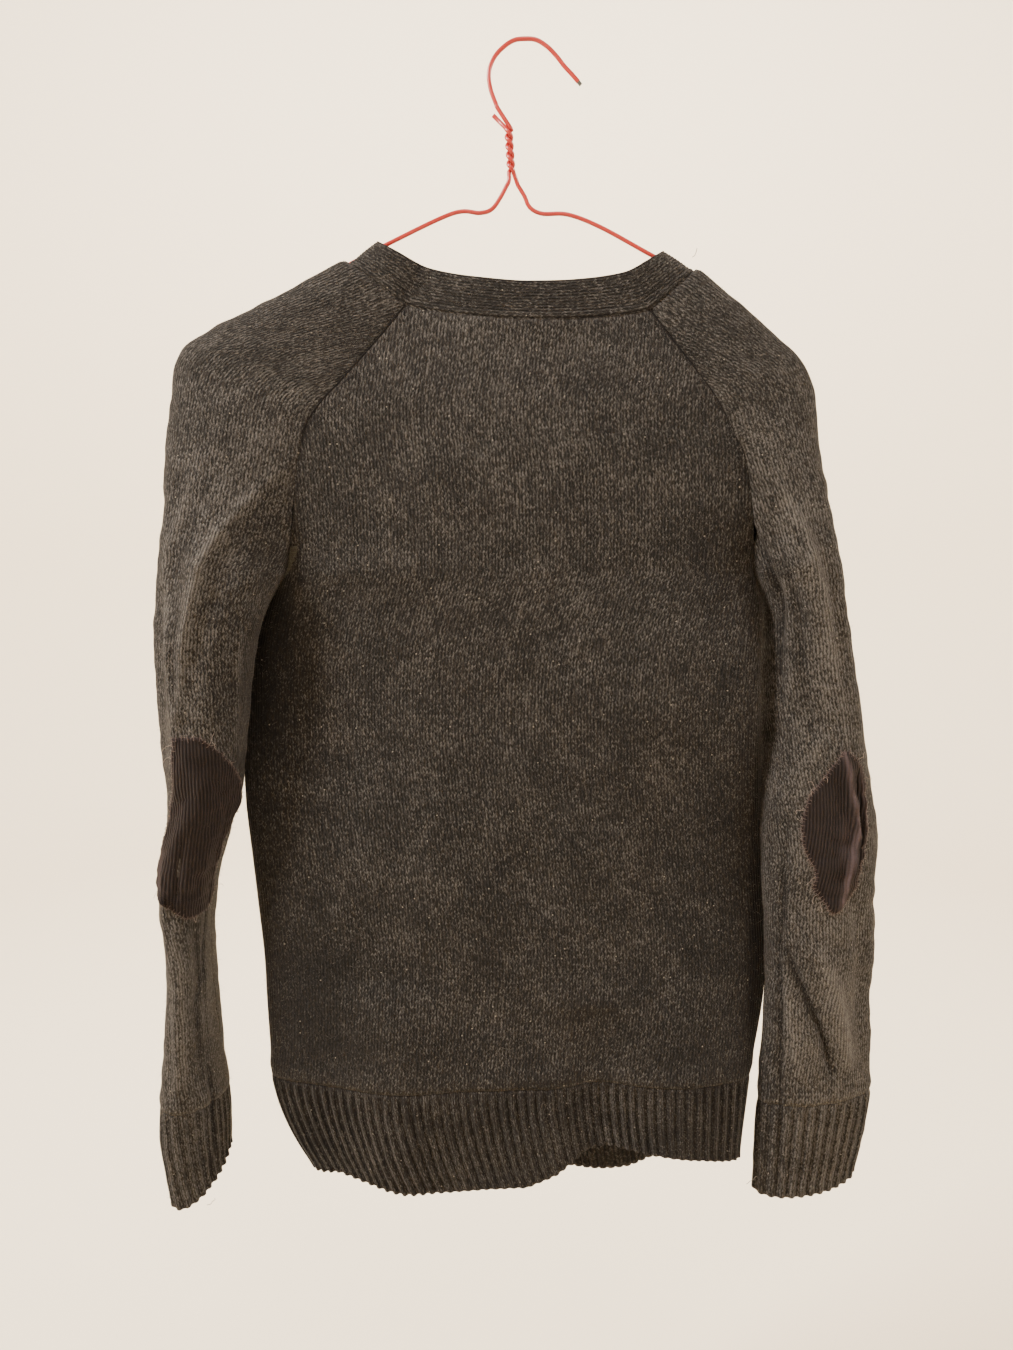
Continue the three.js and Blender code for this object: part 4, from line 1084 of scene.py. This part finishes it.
class PULLOVER_OT_neckband(bpy.types.Operator):
    """Sews the knitted band round the neck, mitred at the point of the V"""

    bl_idname = "pullover.neckband"
    bl_label = "Neckband"

    def execute(self, context):
        stations = [
            ("back", 60, False, "back_left", "back_middle", "back_right"),
            ("sleeve_right", 44, False, "back_right", "right_shoulder", "right_front"),
            ("front", 120, True, "right_front", "point", "left_front"),
            ("sleeve_left", 44, True, "left_front", "left_shoulder", "back_left"),
        ]
        lower, rise = [], []
        for name, count, backwards, *corners in stations:
            share = np.linspace(0, 1, count, endpoint=False)
            first = LAID[name]["points"][0] + LAID[name]["normals"][0] * 1.2
            if backwards:
                first = first[::-1]
            even = np.linspace(0, 1, len(first))
            lower.append(read_at(share, even, first))
            half = share[:, None] * 2
            a, b, c = (np.array(BAND_RISE[key], float) for key in corners)
            rise.append(np.where(half < 1, a + (b - a) * half, b + (c - b) * (half - 1)))
        lower, rise = np.concatenate(lower), np.concatenate(rise)
        top = lower + rise
        for _ in range(5):
            lower = (np.roll(lower, 2, axis=0) + 2 * lower + np.roll(lower, -2, axis=0)) / 4
            top = (np.roll(top, 1, axis=0) + 6 * top + np.roll(top, -1, axis=0)) / 8
        rise = top - lower
        lower = np.concatenate([lower, lower[:1]])
        rise = np.concatenate([rise, rise[:1]])
        up = np.linspace(-0.12, 1, 29)
        points = lower[None] + rise[None] * up[:, None, None]
        hint = points - np.array([0, 0, -150])
        hint[..., 2] = 0
        hint[..., 1] *= 12
        normals = outward(points, hint, closed=True)
        share = np.clip(up, 0, 1)
        welt = 0.8 * hump(up - 0.06, 0.07) + 0.5 * np.sin(np.pi * share)
        welt -= 0.9 * (up < 0)
        fine = 0.22 * np.cos(2 * np.pi * up * 10)
        points = points + normals * (welt + fine)[:, None, None]
        points[:, -1] = points[:, 0]
        length = walked(points.mean(0))
        width = np.linalg.norm(rise, axis=1).mean()
        across = np.repeat((up * width)[:, None], len(length), axis=1)
        along = np.repeat(length[None], len(up), axis=0)
        LAID["neckband"] = {"points": points, "normals": normals}
        LAID["band_edge"] = points[0] - normals[0] * 0.4
        piece = cloth("neckband_knit", points, normals, across, along, 0.0026, closed=True)
        flat = (float(width) * MM, float(length[-1]) * MM)
        finish_piece(piece, MATERIALS["band"], "neckband", flat=flat, rests_on=["hanger_frame"])
        return {"FINISHED"}


class PULLOVER_OT_seams(bpy.types.Operator):
    """Links the raglans and the neckband with linking yarn sunk into the seams, coloured near black as
    painted shade of their grooves
    """

    bl_idname = "pullover.seams"
    bl_label = "Linked seams"

    def execute(self, context):
        routes = []
        for edge in ("back", "front"):
            laid = LAID[edge]
            rows = laid["at"][:, 0] <= 6
            thick = np.interp(laid["at"][rows, 0], (0, 3, 4.6, 6), (1, 0.95, 0.7, 0.05))
            for side in (0, -1):
                spots = laid["points"][rows, side] + laid["normals"][rows, side] * 0.35
                routes.append(np.column_stack([spots, thick]))
        routes.append(LAID["band_edge"])
        threads("linked_seams_painted_shade", routes, 0.62, MATERIALS["linking"], 4)
        return {"FINISHED"}


def on_sleeve(side, at, degrees, lift):
    """Points on a sleeve's outside at row numbers and degrees, lifted off it."""
    share = (np.asarray(degrees) / 180 + 1) / 2
    at = np.asarray(at, float)
    here = sleeve_point(side, at, share)
    du = sleeve_point(side, at, share + 0.004) - sleeve_point(side, at, share - 0.004)
    dv = sleeve_point(side, at + 0.05, share) - sleeve_point(side, at - 0.05, share)
    normal = unit(np.cross(du, dv))
    middle = sleeve_middle(sleeve_section(side, at))
    normal *= np.where(np.sum(normal * (here - middle), -1) < 0, -1, 1)[..., None]
    return here + normal * np.asarray(lift)[..., None], normal


def patch_outline(side, down):
    """Degrees where a patch begins and ends at shares of the way down, and its row."""
    table = np.array(PATCHES[side], float)
    row = table[0, 0] + (table[-1, 0] - table[0, 0]) * down
    number = np.interp(row, table[:, 0], np.arange(len(table)))
    smooth = spline(table, number)
    return row, smooth[..., 1], smooth[..., 2]


class PULLOVER_OT_patches(bpy.types.Operator):
    """Lays the corduroy patches on the elbows, with their pile ribs raised"""

    bl_idname = "pullover.patches"
    bl_label = "Elbow patches"

    def execute(self, context):
        rows, columns = GRIDS["patch"]
        down = np.linspace(0, 1, rows + 1)[:, None]
        for side in ("left", "right"):
            row, begin, end = patch_outline(side, down)
            ragged = np.random.default_rng(SEED + len(side))
            begin = begin + self.frayed(ragged, rows)
            end = end + self.frayed(ragged, rows)
            degrees = begin + (end - begin) * np.linspace(0, 1, columns + 1)[None]
            at = np.repeat(row, columns + 1, axis=1)
            base, normals = on_sleeve(side, at, degrees, np.full(at.shape, 1.0))
            spine = on_sleeve(side, row, np.full_like(row, -90.0), np.zeros_like(row))[0][:, 0]
            walk = walked_across(base)
            grain = np.interp(down[:, 0], (0, 1), CORD_GRAIN[side])
            zero = np.stack([np.interp(grain[i], degrees[i], walk[i]) for i in range(rows + 1)])[:, None]
            across = walk - zero
            along = np.repeat(walked(spine)[:, None], columns + 1, axis=1)
            pile = 0.12 * np.cos(2 * np.pi * across / CORD_WALE)
            from_sides = np.minimum(walk, walk[:, -1:] - walk)
            rim = np.minimum(from_sides, np.minimum(along, along.max() - along))
            edge = hump(rim, 2.2)
            pucker = soft_noise(base, 16, SEED + 8) * 0.7 + soft_noise(base, 7, SEED + 9) * 0.25
            lift = 0.75 + pile * (1 - edge) + pucker * (1 - edge * 0.4) - 0.75 * edge
            lift += crease_rise(PATCH_CREASES[side], at, degrees) * (1 - edge * 0.7)
            points = base + normals * lift[..., None]
            piece = cloth(f"elbow_patch_{side}_cord", points, normals, across, -along, 0.0011)
            self.mark_wear(piece, self.wear(side, down, degrees) + 0.3 * hump(rim, 1.0), points)
            width = float(walk[:, -1].max()) * MM
            length = float(along.max()) * MM
            area = float(walk[:, -1].mean()) * MM * length
            finish_piece(
                piece, MATERIALS["corduroy"], f"elbow_patch_{side}", flat=(width, length), area=area,
                held="laid", rests_on=[f"sleeve_{side}_knit"],
            )
            LAID["patch_" + side] = {"points": points, "normals": normals}
        return {"FINISHED"}

    def frayed(self, random, rows):
        """Uneven degrees down a side, eased over three rows."""
        return np.convolve(random.normal(0, 1.3, rows + 3), np.ones(3) / 3, "valid")[:, None]

    def wear(self, side, down, degrees):
        """How worn the pile is, from the patch's pale creases."""
        total = np.zeros(degrees.shape)
        for start, stop, first, final, width, strength in PATCH_WEAR[side]:
            part = np.clip((down - start) / (stop - start), 0, 1)
            inside = np.clip((down - start) / 0.12, 0, 1) * np.clip((stop - down) / 0.12, 0, 1)
            total += strength * inside * hump(degrees - first - (final - first) * part, width)
        return total

    def mark_wear(self, piece, wear, points):
        """Writes the wear of each point to the piece's vertices."""
        attribute = piece.data.attributes.new("wear", "FLOAT", "POINT")
        places = {tuple(np.round(p, 3)): w for p, w in zip(points.reshape(-1, 3), wear.ravel())}
        values = [places.get(tuple(np.round(np.array(v.co) / MM, 3)), 0.3) for v in piece.data.vertices]
        attribute.data.foreach_set("value", np.clip(values, 0, 1).astype(np.float32))


def patch_rim(side, inset, count):
    """Points a little inside a patch's edge, with their ways up, onward and inward."""
    patch = LAID["patch_" + side]
    p, n = patch["points"], patch["normals"]
    ring = [(0, c) for c in range(p.shape[1])]
    ring += [(r, p.shape[1] - 1) for r in range(p.shape[0])]
    ring += [(p.shape[0] - 1, c) for c in range(p.shape[1] - 1, -1, -1)]
    ring += [(r, 0) for r in range(p.shape[0] - 1, -1, -1)]
    rows, columns = np.array(ring).T
    length = walked(p[rows, columns])
    want = np.linspace(0, length[-1], count, endpoint=False)
    spots = read_at(want, length, p[rows, columns])
    ups = unit(read_at(want, length, n[rows, columns]))
    onward = unit(np.roll(spots, -1, axis=0) - np.roll(spots, 1, axis=0))
    inward = unit(np.cross(ups, onward))
    centre = p[p.shape[0] // 2, p.shape[1] // 2]
    inward *= np.where(np.sum(inward * (centre - spots), -1) < 0, -1, 1)[:, None]
    return spots + inward * inset, ups, onward, inward


class PULLOVER_OT_stitches(bpy.types.Operator):
    """Sews the patches on and leaves the frayed and loose threads"""

    bl_idname = "pullover.stitches"
    bl_label = "Sewing and frayed threads"

    def execute(self, context):
        random = np.random.default_rng(SEED)
        for side in ("left", "right"):
            rim = patch_rim(side, 0.0, SEWING["whips"])
            whips = [self.whip(random, *place) for place in zip(*rim)]
            frays = [self.fray(random, *place) for place in zip(*patch_rim(side, 0.3, SEWING["frays"]))]
            loose = [self.loose_thread(random, *rim) for _ in range(SEWING["loose"])]
            threads(f"whip_stitches_{side}", whips, 0.22, MATERIALS["thread"], 4)
            threads(f"frayed_edge_{side}", [f for f in frays if f], 0.07, MATERIALS["pale_thread"])
            threads(f"loose_threads_{side}", loose, 0.12, MATERIALS["pale_thread"])
        return {"FINISHED"}

    def whip(self, random, spot, up, on, inn):
        """One slanting stitch from the patch over its edge into the sleeve."""
        lean = on * random.uniform(-0.7, 0.7)
        reach = random.uniform(2.2, 3.6)
        return [
            spot + inn * reach + lean + up * 0.15,
            spot + inn * reach * 0.6 + lean * 0.5 + up * 0.75,
            spot + inn * 0.2 + up * 0.75,
            spot - inn * 1.2 - lean * 0.5 - up * 0.1,
            spot - inn * 1.6 - lean * 0.6 - up * 1.0,
        ]

    def fray(self, random, spot, up, on, inn):
        """One fibre out of the cut edge, thinner at its tip, or none."""
        if random.uniform() < 0.35:
            return None
        way = unit(-inn + on * random.normal(0, 0.6) + up * random.uniform(-0.1, 0.5))
        size = random.gamma(2.0, 0.6)
        bend = on * random.normal(0, 0.4) - np.array([0, 0, 0.5])
        return [spot, spot + way * size * 0.5, (*(spot + way * size + bend * size * 0.3), 0.4)]

    def loose_thread(self, random, spots, ups, onward, inward):
        """A longer thread that wanders off from some place of the edge."""
        start = random.integers(0, len(spots))
        route = [spots[start]]
        way = unit(-inward[start] + ups[start] * 0.6)
        for _ in range(7):
            way = unit(way + random.normal(0, 0.45, 3) - np.array([0, 0, 0.25]))
            route.append(route[-1] + way * 1.3)
        return route


class PULLOVER_OT_darn(bpy.types.Operator):
    """Weaves the darn at the left armpit and hangs the loose ends"""

    bl_idname = "pullover.darn"
    bl_label = "Darn and loose ends"

    def execute(self, context):
        random = np.random.default_rng(SEED + 5)
        routes = [
            self.yarn(random, line, across)
            for lines, across in ((DARN["weft"], True), (DARN["warp"], False)) for line in range(lines)
        ]
        threads("underarm_darn", routes, 0.3, MATERIALS["darning"], 4)
        ends = [self.loose_end(random, *end) for end in LOOSE_ENDS]
        threads("loose_ends", ends, 0.2, MATERIALS["nap"], 4)
        return {"FINISHED"}

    def yarn(self, random, line, across):
        """One yarn of the darn, over and under those that cross it."""
        back = LAID["back"]
        rows = np.where((back["at"][:, 0] >= DARN["rows"][0]) & (back["at"][:, 0] <= DARN["rows"][1]))[0]
        start, stop = DARN["shares"]
        lines, crossed = ("weft", "warp") if across else ("warp", "weft")
        part = (line + 0.5) / DARN[lines]
        route = []
        for step in np.linspace(-0.05, 1.05, 30):
            down, over = (part, step) if across else (step, part)
            down += random.normal(0, 0.004)
            row = rows[0] + (rows[-1] - rows[0]) * np.clip(down, 0, 1)
            column = (start + (stop - start) * over) * (back["points"].shape[1] - 1)
            sign = 1 if (int(step * DARN[crossed]) + line + across) % 2 else -1
            normal = back["normals"][int(row), int(column)]
            route.append(self.spot_of(back["points"], row, column) + normal * (0.55 + 0.35 * sign))
        return route

    def spot_of(self, grid, row, column):
        """A point between the four nearest ones of a grid."""
        i, j = int(row), int(column)
        f, g = row - i, column - j
        below = min(i + 1, len(grid) - 1)
        left = grid[i, j] * (1 - f) + grid[below, j] * f
        right = grid[i, j + 1] * (1 - f) + grid[below, j + 1] * f
        return left * (1 - g) + right * g

    def loose_end(self, random, spot, way, size):
        """A yarn end that bends at random from a spot."""
        route = [np.array(spot, float)]
        heading = unit(np.array(way, float))
        for _ in range(8):
            heading = unit(heading + random.normal(0, 0.35, 3))
            route.append(route[-1] + heading * size / 8 * 1.4)
        return route


def fur(name, laid, count, length, material, seed):
    """Loose fibres that stand off a laid cloth, each a thin bent blade."""
    random = np.random.default_rng(seed)
    p, n = laid["points"], laid["normals"]
    i = random.integers(0, p.shape[0] - 1, count)
    j = random.integers(0, p.shape[1] - 1, count)
    f, g = random.uniform(size=(2, count, 1))
    left = p[i, j] * (1 - f) + p[i + 1, j] * f
    right = p[i, j + 1] * (1 - f) + p[i + 1, j + 1] * f
    root = left * (1 - g) + right * g
    normal = n[i, j]
    size = length * random.gamma(2.2, 0.45, (count, 1))
    way = unit(normal * random.uniform(0.25, 1.1, (count, 1)) + random.normal(0, 0.55, (count, 3)))
    bend = unit(random.normal(0, 1, (count, 3)) + [0, 0, -0.6])
    middle = root + way * size * 0.5
    tip = root + way * size * 0.85 + bend * size * 0.4
    side = unit(np.cross(way, random.normal(0, 1, (count, 3)))) * NAP_WIDTH
    root = root - normal * 0.2
    blades = np.stack([root - side, root + side, middle + side, middle - side, tip], 1)
    base = np.arange(count)[:, None] * 5
    faces = (base + [0, 1, 2, 3]).tolist() + (base + [3, 2, 4]).tolist()
    mesh = bpy.data.meshes.new(name)
    mesh.from_pydata(blades.reshape(-1, 3) * MM, [], faces)
    return finish_piece(new_object(name, mesh), material)


class PULLOVER_OT_nap(bpy.types.Operator):
    """Raises the nap of loose fibres on every knitted piece"""

    bl_idname = "pullover.nap"
    bl_label = "Nap"

    def execute(self, context):
        for order, (name, (count, length)) in enumerate(NAP.items()):
            fur("nap_" + name, LAID[name], count, length, MATERIALS["nap"], SEED + 20 + order)
        return {"FINISHED"}


def arc(centre_x, centre_z, radius, start, end, count):
    """A bend of the wire in the plane of the hanger."""
    angles = np.radians(np.linspace(start, end, count))
    return in_plane(zip(centre_x + radius * np.cos(angles), centre_z + radius * np.sin(angles)))


def in_plane(route):
    """Points in the plane of the hanger."""
    return np.array([(x, 0, z) for x, z in route], float)


def smooth_route(points, count):
    """A route eased through its points, with even steps."""
    fine = spline(points, np.linspace(0, len(points) - 1, count * 4))
    length = walked(fine)
    return read_at(np.linspace(0, length[-1], count), length, fine)


def twist_strand(start):
    """One of the two wires of the twisted neck, from its top down."""
    share = np.linspace(0, 1, 56)
    angle = math.radians(start) + share * TWIST["turns"] * 2 * math.pi
    axis = TWIST["axis_top"] + (TWIST["axis_bottom"] - TWIST["axis_top"]) * share
    height = TWIST["top"] + (TWIST["bottom"] - TWIST["top"]) * share
    x, y = TWIST["radius"] * np.cos(angle), TWIST["radius"] * np.sin(angle)
    return np.stack([axis + x, y, height], -1)


class PULLOVER_OT_hanger(bpy.types.Operator):
    """Bends the coated wire hanger with its twisted neck"""

    bl_idname = "pullover.hanger"
    bl_label = "Wire hanger"

    def execute(self, context):
        hook = np.concatenate([
            smooth_route(in_plane(HOOK_ROUTE), 90), twist_strand(0), in_plane(HOOK_END),
        ])
        hook = smooth_route(hook, 200)
        frame_route = np.concatenate([
            smooth_route(in_plane(LEFT_NECK_ROUTE), 60),
            arc(*LEFT_CORNER, 24), arc(*RIGHT_CORNER, 24),
            smooth_route(in_plane([*RIGHT_ARM, *RIGHT_NECK_ROUTE]), 70),
            twist_strand(180)[::-1], in_plane([CUT_END]),
        ])
        coated = threads("hook_wire", [hook[3:]], WIRE_RADIUS, MATERIALS["wire"], 8)
        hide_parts("hanger_hook")
        loop = threads("frame_wire", [frame_route], WIRE_RADIUS, MATERIALS["wire"], 8)
        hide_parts("hanger_frame")
        threads("bare_tip", [hook[:5]], WIRE_RADIUS * 0.82, MATERIALS["steel"], 8)
        return {"FINISHED"}


class PULLOVER_OT_stage(bpy.types.Operator):
    """Sets the pale floor, the soft light and the camera"""

    bl_idname = "pullover.stage"
    bl_label = "Stage"

    def execute(self, context):
        self.cove()
        self.lights(context.scene)
        data = bpy.data.cameras.new("camera")
        data.lens = CAMERA["lens"]
        data.sensor_width = CAMERA["sensor"]
        data.clip_end = 30
        camera = bpy.data.objects.new("camera", data)
        camera.location = Vector(CAMERA["place"]) * MM
        camera.rotation_euler = (math.radians(90 - CAMERA["tilt"]), 0, 0)
        context.scene.collection.objects.link(camera)
        context.scene.camera = camera
        return {"FINISHED"}

    def cove(self):
        """A round studio cove: a floor that curves up into a wall all round."""
        bm = bmesh.new()
        flat, corner = STAGE["radius"] - STAGE["corner"], STAGE["corner"]
        profile = [(0.001, 0), (flat, 0)]
        for turn in np.radians(range(10, 91, 10)):
            profile.append((flat + corner * math.sin(turn), corner * (1 - math.cos(turn))))
        profile.append((STAGE["radius"], STAGE["height"]))
        verts = [bm.verts.new((x * MM, 0, (STAGE["floor"] + z) * MM)) for x, z in profile]
        edges = [bm.edges.new(pair) for pair in zip(verts, verts[1:])]
        bmesh.ops.spin(
            bm, geom=[*verts, *edges], cent=(0, 0, 0), axis=(0, 0, 1), angle=2 * math.pi, steps=64,
            use_merge=True,
        )
        bmesh.ops.recalc_face_normals(bm, faces=bm.faces[:])
        mesh = bpy.data.meshes.new("floor")
        for face in bm.faces:
            face.smooth = True
        bm.to_mesh(mesh)
        bm.free()
        floor = new_object("floor", mesh)
        material = bpy.data.materials.new("matt_studio_paper")
        material.use_nodes = True
        shader = material.node_tree.nodes["Principled BSDF"]
        shader.inputs["Base Color"].default_value = linear("#e4d8c3")
        shader.inputs["Roughness"].default_value = 0.95
        shader.inputs["Specular IOR Level"].default_value = 0.1
        mesh.materials.append(material)

    def lights(self, scene):
        world = bpy.data.worlds.new("soft_room")
        world.use_nodes = True
        background = world.node_tree.nodes["Background"]
        background.inputs[0].default_value = linear("#fff6ea")
        background.inputs[1].default_value = ROOM_LIGHT
        scene.world = world
        for name, place, aim, size, power in LIGHTS:
            light = bpy.data.lights.new(name, "AREA")
            light.size = size
            light.energy = power
            light.color = LIGHT_COLOUR
            lamp = bpy.data.objects.new(name, light)
            lamp.location = place
            way = Vector(aim) - lamp.location
            lamp.rotation_euler = way.to_track_quat("-Z", "Y").to_euler()
            scene.collection.objects.link(lamp)


OPERATORS = (
    PULLOVER_OT_materials, PULLOVER_OT_body, PULLOVER_OT_sleeves, PULLOVER_OT_ribs,
    PULLOVER_OT_neckband, PULLOVER_OT_seams, PULLOVER_OT_patches, PULLOVER_OT_stitches, PULLOVER_OT_darn,
    PULLOVER_OT_nap, PULLOVER_OT_hanger, PULLOVER_OT_stage,
)


class PULLOVER_PT_panel(bpy.types.Panel):
    """Lists the sizes, the finishes and the steps"""

    bl_label = "Pullover"
    bl_idname = "PULLOVER_PT_panel"
    bl_space_type = "VIEW_3D"
    bl_region_type = "UI"
    bl_category = "Pullover"

    def draw(self, context):
        for group in (context.scene.pullover_knit, context.scene.pullover_finish):
            for key in group.__annotations__:
                self.layout.prop(group, key)
        for operator in OPERATORS:
            self.layout.operator(operator.bl_idname)


CLASSES = (KnitSizes, Finish, *OPERATORS, PULLOVER_PT_panel)


def register():
    for item in CLASSES:
        bpy.utils.register_class(item)
    bpy.types.Scene.pullover_knit = bpy.props.PointerProperty(type=KnitSizes)
    bpy.types.Scene.pullover_finish = bpy.props.PointerProperty(type=Finish)


def unregister():
    del bpy.types.Scene.pullover_finish
    del bpy.types.Scene.pullover_knit
    for item in reversed(CLASSES):
        bpy.utils.unregister_class(item)


def main():
    register()
    bpy.ops.pullover.materials()
    bpy.ops.pullover.body()
    bpy.ops.pullover.sleeves()
    bpy.ops.pullover.ribs()
    bpy.ops.pullover.neckband()
    bpy.ops.pullover.seams()
    bpy.ops.pullover.patches()
    bpy.ops.pullover.stitches()
    bpy.ops.pullover.darn()
    bpy.ops.pullover.nap()
    bpy.ops.pullover.hanger()
    bpy.ops.pullover.stage()


if __name__ == "__main__":
    main()
